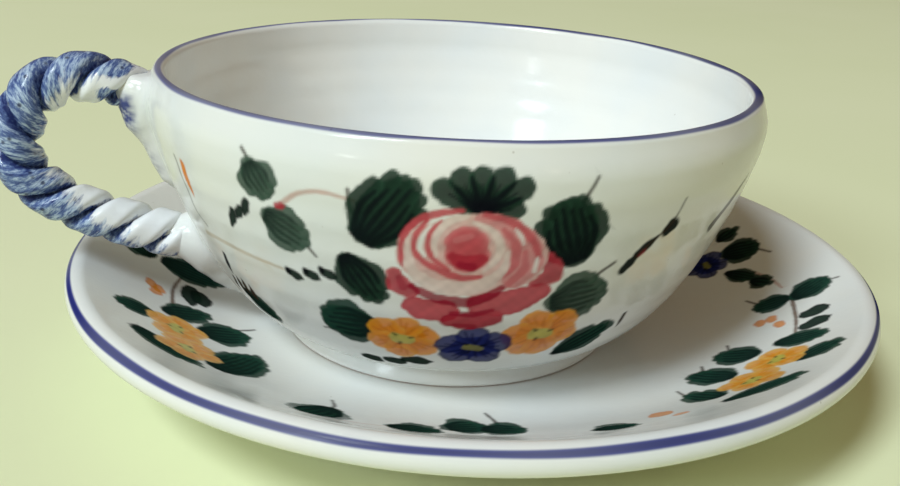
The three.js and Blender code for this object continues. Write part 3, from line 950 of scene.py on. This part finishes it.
def cobalt_glaze():
    """Cobalt brushed along the strands over white glaze: mottled grey blue outside, bare white by the cup."""
    material, tree, shader, where = new_material("cobalt_mottled_glaze")
    lay = add(tree, "ShaderNodeAttribute", attribute_name="lay").outputs["Vector"]
    level = add(tree, "ShaderNodeAttribute", attribute_name="cobalt").outputs["Fac"]
    crest = add(tree, "ShaderNodeAttribute", attribute_name="groove").outputs["Fac"]
    drawn = add(tree, "ShaderNodeMapping", {"Vector": lay, "Scale": (2.2, 1.0, 1.0)})
    torn = calculate(tree, "MULTIPLY_ADD", noise(tree, drawn, 3.0, 5, 0.62), 1.8, level)
    blue = remap(tree, torn, 0.78, 1.12)
    # Lighter on the strands' crests and darker towards the grooves: partly glaze that breaks and pools,
    # partly painted highlight and shade
    thin = remap(tree, crest, 0.66, 1.0, -0.06, 0.06)
    mottle = calculate(tree, "ADD", noise(tree, drawn, 1.8, 4, 0.7), thin)
    thick = remap(tree, level, 0.9, 2.2, 0.0, -0.2)
    ramp = add(tree, "ShaderNodeValToRGB", {"Fac": calculate(tree, "ADD", mottle, thick)})
    stops = ramp.color_ramp.elements
    stops.new(COBALT_STOPS[1][0])
    for stop, (position, colour) in zip(stops, COBALT_STOPS):
        stop.position = position
        stop.color = colour
    pit = remap(tree, cells(tree, where, 2.1), 0.1, 0.24, 0.8, 0.0)
    pitted = blend(tree, pit, ramp, COBALT_PIT)
    pale = blend(tree, noise(tree, where, 8, 2), STRAND_WHITE, STRAND_GREY)
    feed(tree, shader, {"Base Color": blend(tree, blue, pale, pitted)})
    glaze_surface(tree, shader, where, waves=0.3, peel=0.08)
    return material


def bare_clay():
    """Biscuit earthenware, wiped free of glaze where a foot stands: dull red brown with fine grog."""
    material, tree, shader, where = new_material("red_biscuit_clay")
    grog = noise(tree, where, 0.8, 4)
    colour = blend(tree, grog, CLAY_DARK, CLAY_LIGHT)
    bump = add(tree, "ShaderNodeBump", {"Height": grog, "Strength": 0.5, "Distance": 0.1 * MM})
    feed(tree, shader, {"Base Color": colour, "Normal": bump, "Roughness": 0.85})
    return material


WHITE_GLAZE = tin_glaze()
BLUE_GLAZE = cobalt_glaze()
BARE_CLAY = bare_clay()


# Turned pieces
def sheet_of(rows, columns, loop):
    """Bearings, runs and faces of a sheet turned about an axis, with its ends on the axis or joined."""
    bearings = np.arange(columns) * 360 / columns
    faces = []
    if loop:
        rings = len(rows)
        bearing = np.tile(bearings, rings)
        run = np.repeat(rows, columns)
        first = [ring * columns for ring in range(rings)]
        pairs = [(first[ring], first[(ring + 1) % rings]) for ring in range(rings)]
    else:
        rings = len(rows) - 2
        bearing = np.concatenate([[0.0], np.tile(bearings, rings), [0.0]])
        run = np.concatenate([rows[:1], np.repeat(rows[1:-1], columns), rows[-1:]])
        first = [1 + ring * columns for ring in range(rings)]
        pairs = list(zip(first, first[1:]))
        last = len(bearing) - 1
        for column in range(columns):
            following = (column + 1) % columns
            faces.append((0, first[0] + following, first[0] + column))
            faces.append((first[-1] + column, first[-1] + following, last))
    for low, high in pairs:
        for column in range(columns):
            following = (column + 1) % columns
            faces.append((low + column, low + following, high + following, high + column))
    return bearing, run, faces


def painted_faces(mesh, bearing, run, columns, paint, fineness=6):
    """Faces that the painting touches, found on a grid of points inside each face."""
    four_sided = [face for face in mesh.polygons if len(face.vertices) == 4]
    quads = [(face.index, face.vertices[0], face.vertices[2]) for face in four_sided]
    index, low, high = np.array(quads).T
    inside = (np.arange(fineness) + 0.5) / fineness
    across, along = np.meshgrid(inside, inside)
    grid_bearing = bearing[low][:, None] + across.ravel() * 360 / columns
    grid_run = run[low][:, None] + along.ravel() * (run[high] - run[low])[:, None]
    colours = paint(grid_bearing.ravel(), grid_run.ravel())
    touched = (np.abs(colours - 1).max(1) > LEAST_PAINT).reshape(grid_bearing.shape).any(1)
    return index[touched]


def square_to(surface, bearing, run):
    """Directions square to a turned surface, so that its finely and coarsely cut faces shade alike."""
    turn_step = 0.2
    run_step = 0.15
    across = surface(bearing + turn_step, run) - surface(bearing - turn_step, run)
    along = surface(bearing, run + run_step) - surface(bearing, run - run_step)
    normal = np.cross(across, along)
    length = np.linalg.norm(normal, axis=1)
    on_axis = length < 1e-6
    normal[on_axis] = np.stack([0 * run, 0 * run, np.sign(run)], 1)[on_axis]
    length[on_axis] = 1.0
    return normal / length[:, None]


def painted_lathe(name, outline, spacings, columns, surface, paint, white, axis_x, cuts):
    """A turned piece whose painted faces are cut fine enough to hold every brush stroke."""
    rows = outline.rows(spacings)
    bearing, run, faces = sheet_of(rows, columns, loop=False)
    mesh = mesh_from(name, surface(bearing, run), faces)
    mesh.attributes.new("run", "FLOAT", "POINT").data.foreach_set("value", run.astype(np.float32))
    touched = painted_faces(mesh, bearing, run, columns, paint)
    cutter = bmesh.new()
    cutter.from_mesh(mesh)
    cutter.faces.ensure_lookup_table()
    edges = {edge for index in touched for edge in cutter.faces[index].edges}
    ordered = sorted(edges, key=lambda edge: edge.index)
    bmesh.ops.subdivide_edges(cutter, edges=ordered, cuts=cuts, use_grid_fill=True)
    cutter.to_mesh(mesh)
    cutter.free()
    count = len(mesh.vertices)
    places = np.empty(count * 3, np.float32)
    mesh.vertices.foreach_get("co", places)
    places = places.reshape(-1, 3) / MM
    stored = np.empty(count, np.float32)
    mesh.attributes["run"].data.foreach_get("value", stored)
    run = stored.astype(float)
    bearing = np.degrees(np.arctan2(places[:, 0] - axis_x, -places[:, 1]))
    places = surface(bearing, run)
    mesh.vertices.foreach_set("co", (places * MM).astype(np.float32).ravel())
    mesh.attributes.remove(mesh.attributes["run"])
    set_paint(mesh, paint(bearing, run) * white(run)[:, None])
    mesh.update()
    piece = object_from(name, mesh, [WHITE_GLAZE])
    mesh.normals_split_custom_set_from_vertices(square_to(surface, bearing, run))
    return piece


def foot_outline(radius, width, height, taper):
    """Loop round a foot ring's section, from its flat underside, and how many of its rows are bare clay."""
    inner = radius - width
    edge = FOOT_EDGE
    fillet = FOOT_FILLET
    under = np.linspace((inner + edge, 0), (radius - edge, 0), 7)
    outer_edge = arc((radius - edge, edge), edge, -90, 0, 8)
    shoulder = np.array([radius - taper, height - fillet])
    side = np.linspace(outer_edge[-1], shoulder, 6)
    flare = arc(shoulder + (fillet, 0), fillet, 180, 96, 9)
    lid = np.linspace(flare[-1] + (0, 0.25), (inner - 0.4 * fillet, height + 0.25), 6)
    inner_flare = arc((inner - fillet, height - fillet), fillet, 78, 0, 8)
    inner_side = np.linspace(inner_flare[-1], (inner, edge), 5)
    inner_edge = arc((inner + edge, edge), edge, 180, 270, 8)
    loop = [under, outer_edge[1:], side[1:], flare[1:], lid, inner_flare, inner_side[1:], inner_edge[1:-1]]
    return np.vstack(loop), len(under) + 4


def foot_ring(name, radius, width, height, taper, stand, axis_x):
    """A low ring with a bare standing face."""
    outline, bare_rows = foot_outline(radius, width, height, taper)
    rows = np.arange(len(outline), dtype=float)
    bearing, run, faces = sheet_of(rows, FOOT_COLUMNS, loop=True)
    turn = np.radians(bearing)
    row = run.astype(int)
    out, up = outline[row].T
    mesh = mesh_from(name, about_axis(turn, out, stand + up, axis_x), faces)
    set_paint(mesh, np.ones((len(row), 3)))
    piece = object_from(name, mesh, [WHITE_GLAZE, BARE_CLAY])
    for face in mesh.polygons:
        face.material_index = int(max(row[corner] for corner in face.vertices) < bare_rows)
    return piece


# Handle
def wall_at(height):
    """Run and radius of the cup's outside at a height over its foot."""
    wall = (BOWL.run >= 0) & (BOWL.run <= BOWL.joints[2])
    run = float(np.interp(height + WELL_HEIGHT, BOWL.points[wall, 1], BOWL.run[wall]))
    return run, float(BOWL.radius(run))


def rope_line():
    """Middle line of the rope, out from the upper root, round its widest point and in to the lower root."""

    def slanted(degrees):
        return np.array([-math.cos(math.radians(degrees)), 0, math.sin(math.radians(degrees))])

    def off_wall(height, reach):
        return np.array([-wall_at(height)[1] - reach, 0, WELL_HEIGHT + height])

    upper = off_wall(UPPER_ROOT_HEIGHT, UPPER_ROOT_REACH)
    lower = off_wall(LOWER_ROOT_HEIGHT, LOWER_ROOT_REACH)
    widest = np.array([ROPE_RADIUS - ROPE_REACH, 0, WELL_HEIGHT + ROPE_REACH_HEIGHT])
    bend = np.array([0, 0, BEND_RUN])
    over = cubic(upper, upper + ROOT_RUN * slanted(UPPER_ROOT_RISE), widest + bend, widest)
    under = cubic(widest, widest - bend, lower + LOWER_RUN * slanted(LOWER_ROOT_FALL), lower)
    lead = np.linspace(upper - UPPER_LEAD * slanted(UPPER_ROOT_RISE), upper, 12)
    tail = np.linspace(lower, lower - LOWER_LEAD * slanted(LOWER_ROOT_FALL), 12)
    return np.vstack([lead[:-1], over, under[1:], tail[1:]])


# Metres that the glaze's pattern moves along a strand for each radian of its start, so that the two differ
STRAND_SHIFT = 0.01


def strand_tree():
    """Geometry nodes that wind one oval strand about the rope's middle line."""
    tree = bpy.data.node_groups.new("wound_strand", "GeometryNodeTree")
    sockets = tree.interface
    sockets.new_socket("Line", in_out="INPUT", socket_type="NodeSocketGeometry")
    for name in ("Pitch", "Start", "Offset", "Thickness", "Breadth", "Step", "Unevenness", "Reach"):
        sockets.new_socket(name, in_out="INPUT", socket_type="NodeSocketFloat")
    sockets.new_socket("Sides", in_out="INPUT", socket_type="NodeSocketInt")
    sockets.new_socket("Glaze", in_out="INPUT", socket_type="NodeSocketMaterial")
    sockets.new_socket("Strand", in_out="OUTPUT", socket_type="NodeSocketGeometry")
    size = add(tree, "NodeGroupInput").outputs
    front = (0.0, -1.0, 0.0)

    # Middle line, with the direction from it to the strand turning once in each pitch
    curve = add(tree, "GeometryNodeMeshToCurve", {"Mesh": size["Line"]})
    even = add(tree, "GeometryNodeResampleCurve", {"Curve": curve, "Length": size["Step"]}, mode="LENGTH")
    outwards = combine(tree, "CROSS_PRODUCT", add(tree, "GeometryNodeInputTangent"), front)
    spline = add(tree, "GeometryNodeSplineParameter").outputs
    turns = calculate(tree, "DIVIDE", spline["Length"], size["Pitch"])
    angle = calculate(tree, "MULTIPLY_ADD", turns, 2 * math.pi, size["Start"])
    first = stretched(tree, outwards, calculate(tree, "COSINE", angle))
    second = stretched(tree, front, calculate(tree, "SINE", angle))
    away = combine(tree, "ADD", first, second)
    shifted = calculate(tree, "MULTIPLY_ADD", size["Start"], STRAND_SHIFT, spline["Length"])
    place = add(tree, "GeometryNodeInputPosition")
    kept = add(tree, "GeometryNodeCaptureAttribute", {"Geometry": even}, domain="POINT")
    for name, kind, value in (("outwards", "VECTOR", outwards), ("middle", "VECTOR", place),
                              ("along", "FLOAT", shifted), ("share", "FLOAT", spline["Factor"])):
        kept.capture_items.new(kind, name)
        feed(tree, kept, {name: value})
    aimed = add(tree, "GeometryNodeSetCurveNormal", {"Curve": kept, "Normal": away}, mode="FREE")

    # Oval section beside the middle line, and the strand drawn along it
    circle = add(tree, "GeometryNodeCurvePrimitiveCircle", {"Resolution": size["Sides"], "Radius": 0.5})
    oval = add(tree, "ShaderNodeCombineXYZ", {"X": size["Thickness"], "Y": size["Breadth"], "Z": 1.0})
    shift = add(tree, "ShaderNodeCombineXYZ", {"X": size["Offset"]})
    section = add(tree, "GeometryNodeTransform", {"Geometry": circle, "Translation": shift, "Scale": oval})
    rim = add(tree, "GeometryNodeCaptureAttribute", {"Geometry": section}, domain="POINT")
    rim.capture_items.new("VECTOR", "rim")
    feed(tree, rim, {"rim": place})
    started = remap(tree, spline["Factor"], 0.0, 0.11, 0.84, 1.0, "SMOOTHSTEP")
    ended = remap(tree, spline["Factor"], 1.0, 0.91, 0.7, 1.0, "SMOOTHSTEP")
    thinned = calculate(tree, "MULTIPLY", started, ended)
    wound = add(tree, "GeometryNodeCurveToMesh", {"Curve": aimed, "Profile Curve": rim, "Scale": thinned,
                                                  "Fill Caps": True})

    # Dents of the fingers that rolled the clay
    sunk = calculate(tree, "ADD", noise(tree, place, 4.5, 2.0), -0.85)
    depth = calculate(tree, "MULTIPLY", sunk, size["Unevenness"])
    push = stretched(tree, add(tree, "GeometryNodeInputNormal"), depth)
    uneven = add(tree, "GeometryNodeSetPosition", {"Geometry": wound, "Offset": push})

    # Marks for the glaze: side of the rope, share of its length, and place along and around the strand
    arm = combine(tree, "SUBTRACT", place, kept.outputs["middle"])
    outer = combine(tree, "DOT_PRODUCT", arm, kept.outputs["outwards"])
    facing = calculate(tree, "DIVIDE", outer, size["Reach"])
    shallow = calculate(tree, "DIVIDE", combine(tree, "LENGTH", arm), size["Reach"])
    around = add(tree, "ShaderNodeSeparateXYZ", {"Vector": rim.outputs["rim"]}).outputs
    lay = add(tree, "ShaderNodeCombineXYZ", {"X": kept.outputs["along"], "Y": around["X"], "Z": around["Y"]})
    marked = uneven
    for name, kind, value in (("outside", "FLOAT", facing), ("share", "FLOAT", kept.outputs["share"]),
                              ("groove", "FLOAT", shallow), ("lay", "FLOAT_VECTOR", lay)):
        marked = add(tree, "GeometryNodeStoreNamedAttribute",
                     {"Geometry": marked, "Name": name, "Value": value}, data_type=kind, domain="POINT")
    whole = add(tree, "GeometryNodeRealizeInstances", {"Geometry": marked})
    glazed = add(tree, "GeometryNodeSetMaterial", {"Geometry": whole, "Material": size["Glaze"]})
    add(tree, "NodeGroupOutput", {"Strand": glazed})
    return tree


# Cobalt along the rope: shares of its length, and how far the blue goes round to the inside there
COBALT_SHARES = (0.0, 0.06, 0.12, 0.2, 0.32, 0.56, 0.7, 0.85, 1.0)
COBALT_LEVELS = (-1.1, -0.75, -0.25, 0.2, 0.75, 0.8, 0.05, -0.3, -0.5)


def read_marks(mesh, name):
    """Numbers that the winding left on the points of a strand."""
    marks = np.empty(len(mesh.vertices), np.float32)
    mesh.attributes[name].data.foreach_get("value", marks)
    return marks


def strand(name, tree, line, start_turn):
    """One of the two twisted ropes of clay, made a plain mesh."""
    mesh = mesh_from(name, line, [], [(index, index + 1) for index in range(len(line) - 1)])
    piece = placed(name, mesh)
    modifier = piece.modifiers.new("wound_strand", "NODES")
    modifier.node_group = tree
    values = {
        "Pitch": ROPE_PITCH * MM,
        "Start": math.radians(start_turn) - 2 * math.pi * UPPER_LEAD / ROPE_PITCH,
        "Offset": STRAND_OFFSET * MM,
        "Thickness": STRAND_THICKNESS * MM,
        "Breadth": STRAND_BREADTH * MM,
        "Step": STRAND_STEP * MM,
        "Unevenness": STRAND_UNEVENNESS * MM,
        "Reach": ROPE_RADIUS * MM,
        "Sides": STRAND_SIDES,
        "Glaze": BLUE_GLAZE,
    }
    for item in tree.interface.items_tree:
        if item.in_out == "INPUT" and item.name in values:
            modifier[item.identifier] = values[item.name]
    depsgraph = bpy.context.evaluated_depsgraph_get()
    made = bpy.data.meshes.new_from_object(piece.evaluated_get(depsgraph), depsgraph=depsgraph)
    piece.modifiers.remove(modifier)
    # Blue pools in the grooves, where it is also painted shade, blots under the upper end, wears off the bend
    # and crowns the top by the cup
    outside = read_marks(made, "outside")
    share = read_marks(made, "share")
    pooled = 0.5 * smoothstep((0.8 - read_marks(made, "groove")) / 0.14)
    blot = 2.2 * np.exp(-((share - 0.07) / 0.04) ** 2) * smoothstep((0.05 - outside) / 0.4)
    worn = 0.9 * np.exp(-((share - 0.32) / 0.035) ** 2) * smoothstep((outside - 0.35) / 0.4)
    crown = 0.9 * np.exp(-((share - 0.09) / 0.045) ** 2) * smoothstep((outside - 0.2) / 0.4)
    level = np.interp(share, COBALT_SHARES, COBALT_LEVELS) + 0.75 * outside + crown - worn
    level += np.maximum(pooled, blot)
    made.attributes.new("cobalt", "FLOAT", "POINT").data.foreach_set("value", level.astype(np.float32))
    turner = bmesh.new()
    turner.from_mesh(made)
    bmesh.ops.recalc_face_normals(turner, faces=turner.faces)
    turner.to_mesh(made)
    turner.free()
    made.shade_smooth()
    piece.data = made
    bpy.data.meshes.remove(mesh)
    made.name = name
    return piece


def wall_normal(bearing, run):
    """Directions square to the cup's wall, pointing out."""
    step = 0.2
    rise = BOWL.height(run + step) - BOWL.height(run - step)
    spread = BOWL.radius(run + step) - BOWL.radius(run - step)
    turn = np.radians(bearing)
    normal = about_axis(turn, rise, -spread)
    return normal / np.linalg.norm(normal, axis=1)[:, None]


def lumps_down_wall(marks):
    """Places and radii of lumps of clay, from heights over the foot, distances from the wall and radii."""
    lumps = []
    for height, out, radius in marks:
        run = np.array([wall_at(height)[0]])
        bearing = np.array([HANDLE_BEARING])
        wall = np.array([-BOWL.radius(run)[0], 0, BOWL.height(run)[0]])
        lumps.append((wall + out * wall_normal(bearing, run)[0], radius))
    return lumps


def lumps_on_rope(end, direction, marks):
    """Places and radii of round lumps along the rope's end, from distances out from it."""
    return [(end + out * direction, radius) for out, radius in marks]


def gap_to(points, lumps):
    """Distance of points from a string of lumps, less than zero inside."""
    nearest = np.full(len(points), np.inf)
    for (start, thick), (end, thin) in zip(lumps, lumps[1:]):
        step = end - start
        along = np.clip((points - start) @ step / (step @ step), 0, 1)
        distance = np.linalg.norm(points - start - along[:, None] * step, axis=1)
        nearest = np.minimum(nearest, distance - thick - along * (thin - thick))
    return nearest


def smeared_height(wall, heading, lean, strings, soft):
    """How far clay stands out from the wall along a heading, with soft fillets between its lumps."""
    step = 0.12
    most_steps = 80

    def level_at(distance):
        points = wall + distance * heading
        blend = np.exp(-distance * lean / soft)
        for lumps in strings:
            blend = blend + np.exp(-gap_to(points, lumps) / soft)
        return -soft * np.log(blend)

    height = np.zeros(len(wall))
    growing = np.ones(len(wall), bool)
    before = level_at(0.0)
    for count in range(1, most_steps):
        level = level_at(count * step)
        ends = growing & (level > 0)
        height[ends] = step * (count - level[ends] / (level[ends] - before[ends]))
        growing &= level <= 0
        before = level
    height[growing] = most_steps * step
    return height


def root(name, strings, heading_share, rope_direction, low, high, wide, blue_and_shade):
    """Clay of the rope's end pressed on the wall and smeared down it as a tail."""
    columns = int(2 * wide / ROOT_GRID)
    low_run = wall_at(low)[0]
    high_run = min(wall_at(high)[0], BOWL.joints[2] - 0.3)
    rows = int((high_run - low_run) / ROOT_GRID)
    x, run = np.meshgrid(np.linspace(-wide, wide, columns), np.linspace(low_run, high_run, rows))
    x = x.ravel()
    run = run.ravel()
    bearing = HANDLE_BEARING + np.degrees(x / BOWL.radius(run))
    wall = bowl_surface(bearing, run)
    normal = wall_normal(bearing, run)
    heading = (1 - heading_share) * normal + heading_share * rope_direction
    heading /= np.linalg.norm(heading, axis=1)[:, None]
    lean = (heading * normal).sum(1)
    height = smeared_height(wall, heading, lean, strings, ROOT_SOFTNESS)
    # Thin clay runs out flat on the wall, and its edge lies just under the glaze
    edge = np.minimum(wide - np.abs(x), np.minimum(run - low_run, high_run - run))
    height = height ** 2 / (height + ROOT_FEATHER) * smoothstep(edge / ROOT_EDGE) - ROOT_SUNK
    outer = wall + height[:, None] * heading
    inner = wall - normal
    front = np.arange(rows * columns).reshape(rows, columns)
    back = front + rows * columns
    strips = []
    for row in range(rows - 1):
        strips += [(front[row], front[row + 1]), (back[row + 1], back[row])]
    strips += [(back[0], front[0]), (front[-1], back[-1])]
    strips += [(front[:, 0], back[:, 0]), (back[:, -1], front[:, -1])]
    faces = [np.stack([one[:-1], one[1:], other[1:], other[:-1]], 1) for one, other in strips]
    mesh = mesh_from(name, np.vstack([outer, inner]), np.vstack(faces).tolist())
    # The blue marks on the roots are partly cobalt and partly painted shade
    amount = np.clip(blue_and_shade(x, BOWL.height(run) - WELL_HEIGHT, height), 0, 1)[:, None]
    tint = OUTSIDE_WHITE * (1 - amount * (1 - np.array(ROOT_BLUE_AND_SHADE)))
    set_paint(mesh, np.vstack([tint, np.ones_like(tint)]))
    return object_from(name, mesh, [WHITE_GLAZE])


def upper_blue_and_shade(x, height, out):
    """Cobalt that ran into the corner under the rope, and a fainter blue grey down the ridge of the tail that
    is partly cobalt and partly painted shade along its edge.
    """
    corner_blot = 1.4 * smoothstep((out - 1.4) / 2.0) * smoothstep((45.5 - height) / 2)
    corner_blot *= smoothstep((height - 37.5) / 5)
    mottle = np.sin(3.7 * height + 1.2 * np.sin(2.3 * x)) * np.sin(2.9 * x + 0.9 * height)
    blotches = 0.72 + 0.42 * mottle
    ridge = 0.45 * np.exp(-((x - 1.2 + 0.3 * np.sin(0.9 * height)) / 1.5) ** 2)
    return blotches * (corner_blot + ridge * smoothstep((42 - height) / 3) * smoothstep((height - 28.5) / 3))


def lower_blue_and_shade(x, height, out):
    """Blue grey along the underside of the lower tail: partly cobalt, partly painted shade on the underside.
    """
    ridge = np.exp(-((x + 0.4) / 1.8) ** 2) * (0.75 + 0.2 * np.sin(1.1 * height))
    return ridge * smoothstep((17 - height) / 3) * smoothstep((height - 7.5) / 2)


# Clay of the roots: distance out and radius on the rope's end, then height, distance and radius down the wall
UPPER_STUB = [(0.0, 4.9), (1.4, 3.9), (3.0, 2.4)]
UPPER_TAIL = [(43.5, 0.8, 3.6), (40.5, 1.0, 3.6), (38.3, 0.2, 3.3), (36.2, -0.1, 3.0), (33.1, 0.0, 2.7),
              (30.5, 0.1, 2.2), (29.4, 0.0, 1.6)]
LOWER_STUB = [(0.0, 4.8), (3.8, 3.8), (7.6, 2.4)]
LOWER_TAIL = [(17.5, 0.4, 4.2), (14.5, 0.8, 3.9), (12.0, 0.8, 3.4), (10.0, 0.5, 2.9), (8.6, 0.4, 2.2)]


# Making of the pieces
def cup_white_with_painted_light(run):
    """How white the glaze is up the cup: whiter inside than outside, a painted light that stands in for the
    brighter light inside the cup.
    """
    return OUTSIDE_WHITE + (INSIDE_WHITE_PAINTED_LIGHT - OUTSIDE_WHITE) * smoothstep((run - BOWL.joints[2]) / 4)


def saucer_white(run):
    """How white the glaze is on the saucer, where it is even."""
    return np.full(len(run), SAUCER_WHITE)


cup_bowl = painted_lathe("cup_bowl_painted", BOWL, CUP_SPACINGS, CUP_COLUMNS, bowl_surface, paint_cup,
                         cup_white_with_painted_light, 0.0, CUP_CUTS)
saucer_dish = painted_lathe("saucer_dish_painted", DISH, SAUCER_SPACINGS, SAUCER_COLUMNS, dish_surface,
                            paint_saucer, saucer_white, SAUCER_SHIFT, SAUCER_CUTS)
cup_foot = foot_ring("cup_foot_glazed", CUP_FOOT_RADIUS, CUP_FOOT_WIDTH, CUP_FOOT_HEIGHT,
                     taper=CUP_FOOT_TAPER, stand=WELL_HEIGHT, axis_x=0.0)
saucer_foot = foot_ring("saucer_foot_glazed", WELL_RADIUS - SAUCER_FOOT_INSET, SAUCER_FOOT_WIDTH,
                        SAUCER_FOOT_HEIGHT, taper=0.0, stand=0.0, axis_x=SAUCER_SHIFT)
winding = strand_tree()
rope = rope_line()
strand_a = strand("handle_strand_a_wound", winding, rope, ROPE_START)
strand_b = strand("handle_strand_b_wound", winding, rope, ROPE_START + 180)
rope_out = (rope[1] - rope[0]) / np.linalg.norm(rope[1] - rope[0])
rope_back = (rope[-2] - rope[-1]) / np.linalg.norm(rope[-2] - rope[-1])
upper_root = root(
    "handle_upper_root_smeared",
    [lumps_on_rope(rope[0], rope_out, UPPER_STUB), lumps_down_wall(UPPER_TAIL)],
    heading_share=0.3, rope_direction=rope_out, low=26.0, high=49.0, wide=10.0, blue_and_shade=upper_blue_and_shade,
)
lower_root = root(
    "handle_lower_root_smeared",
    [lumps_on_rope(rope[-1], rope_back, LOWER_STUB), lumps_down_wall(LOWER_TAIL)],
    heading_share=0.5, rope_direction=rope_back, low=5.6, high=27.0, wide=10.0, blue_and_shade=lower_blue_and_shade,
)

PIECES = [
    (cup_bowl, "cup", "cup_bowl", "white_glaze"),
    (cup_foot, "cup", "cup_foot_ring", "white_glaze"),
    (strand_a, "cup", "handle_strand_a", "blue_glaze"),
    (strand_b, "cup", "handle_strand_b", "blue_glaze"),
    (upper_root, "cup", "handle_upper_root", "white_glaze"),
    (lower_root, "cup", "handle_lower_root", "white_glaze"),
    (saucer_dish, "saucer", "saucer_dish", "white_glaze"),
    (saucer_foot, "saucer", "saucer_foot_ring", "white_glaze"),
]
for piece, body, node, slot in PIECES:
    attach(piece, body)
    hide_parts(node)


# Camera at the photograph's view, found from the rim, the saucer's line and the foot
CAMERA_BEARING = -15.0
CAMERA_DISTANCE = 179.57
CAMERA_HEIGHT = 90.30
CAMERA_DIP = 0.3677
CAMERA_ROLL = 0.0495
FOCAL_PIXELS = 980.0
FRAME_WIDTH = 900.0
SENSOR = 36.0
CLIP_START = 0.005


def photograph_camera():
    """A camera that dips and rolls as the photograph's did."""
    turn = math.radians(CAMERA_BEARING)
    place = Vector((CAMERA_DISTANCE * math.sin(turn), -CAMERA_DISTANCE * math.cos(turn), CAMERA_HEIGHT)) * MM
    level = Vector((-math.sin(turn), math.cos(turn), 0))
    ahead = level * math.cos(CAMERA_DIP) - Vector((0, 0, 1)) * math.sin(CAMERA_DIP)
    right = ahead.cross(Vector((0, 0, 1))).normalized()
    above = right.cross(ahead)
    rolled_right = right * math.cos(CAMERA_ROLL) + above * math.sin(CAMERA_ROLL)
    rolled_above = above * math.cos(CAMERA_ROLL) - right * math.sin(CAMERA_ROLL)
    lens = bpy.data.cameras.new("photograph_view")
    lens.sensor_fit = "HORIZONTAL"
    lens.sensor_width = SENSOR
    lens.lens = SENSOR * FOCAL_PIXELS / FRAME_WIDTH
    lens.clip_start = CLIP_START
    camera = placed("photograph_view", lens)
    axes = Matrix((rolled_right, rolled_above, -ahead)).transposed().to_4x4()
    camera.matrix_world = Matrix.Translation(place) @ axes
    bpy.context.scene.camera = camera


photograph_camera()


# Floor, lamps and world
FLOOR_REACH = 60.0
FLOOR_FADE_START = 0.8
FLOOR_FADE_END = 3.0
FLOOR_STRAW = rgba("#e5ebc0")
FLOOR_PALE = rgba("#ecf0ca")
FLOOR_FAR = rgba("#c6cca8")
# Name, bearing and elevation in degrees, distance and size in metres, power in watts, and colour
LAMPS = [
    ("key_lamp", -53.0, 50.0, 6.0, 1.7, 254.0, "#ebf7fd"),
    ("window_lamp", -56.0, 30.0, 4.0, 0.8, 40.0, "#e6f7ff"),
    ("front_lamp", -51.0, 14.0, 1.0, 0.04, 0.2, "#f8fcfa"),
    ("side_lamp", 18.0, 8.0, 1.0, 0.03, 0.1, "#ffeeda"),
]
LAMP_AIM_HEIGHT = 0.03
WORLD_COLOUR = "#eccfa8"
WORLD_STRENGTH = 0.25


def floor():
    """A plain pale table top that runs out of sight, as pale beyond the lamps' reach as below them."""
    material, tree, shader, where = new_material("pale_straw_cloth")
    colour = blend(tree, noise(tree, where, 120, 2), FLOOR_STRAW, FLOOR_PALE)
    feed(tree, shader, {"Base Color": colour, "Roughness": 0.9, "Specular IOR Level": 0.1})
    beyond = remap(tree, combine(tree, "LENGTH", where), FLOOR_FADE_START, FLOOR_FADE_END)
    ray = add(tree, "ShaderNodeLightPath").outputs
    seen = calculate(tree, "MAXIMUM", ray["Is Camera Ray"], ray["Is Glossy Ray"])
    share = calculate(tree, "MULTIPLY", beyond, seen)
    pale = add(tree, "ShaderNodeEmission", {"Color": FLOOR_FAR, "Strength": 1.0})
    both = add(tree, "ShaderNodeMixShader", {0: share, 1: shader, 2: pale})
    feed(tree, tree.nodes["Material Output"], {"Surface": both})
    mesh = bpy.data.meshes.new("floor")
    signs = [(-1, -1), (1, -1), (1, 1), (-1, 1)]
    mesh.from_pydata([(x * FLOOR_REACH, y * FLOOR_REACH, 0) for x, y in signs], [], [(0, 1, 2, 3)])
    piece = object_from("floor", mesh, [material])


def lamp(name, bearing, elevation, distance, size, power, colour):
    """A round soft lamp that faces the cup from a bearing and an elevation."""
    data = bpy.data.lights.new(name, "AREA")
    data.shape = "DISK"
    data.size = size
    data.energy = power
    data.color = linear(colour)
    piece = placed(name, data)
    turn = math.radians(bearing)
    rise = math.radians(elevation)
    direction = Vector((math.sin(turn) * math.cos(rise), -math.cos(turn) * math.cos(rise), math.sin(rise)))
    aim = Vector((0, 0, LAMP_AIM_HEIGHT))
    piece.location = aim + direction * distance
    piece.rotation_mode = "QUATERNION"
    piece.rotation_quaternion = direction.to_track_quat("Z", "Y")


def studio():
    """The lamps and the light all round."""
    for settings in LAMPS:
        lamp(*settings)
    world = bpy.data.worlds.new("studio")
    world.use_nodes = True
    tree = world.node_tree
    feed(tree, tree.nodes["Background"], {"Color": rgba(WORLD_COLOUR), "Strength": WORLD_STRENGTH})
    bpy.context.scene.world = world
    bpy.context.scene.view_settings.view_transform = "Standard"


floor()
studio()
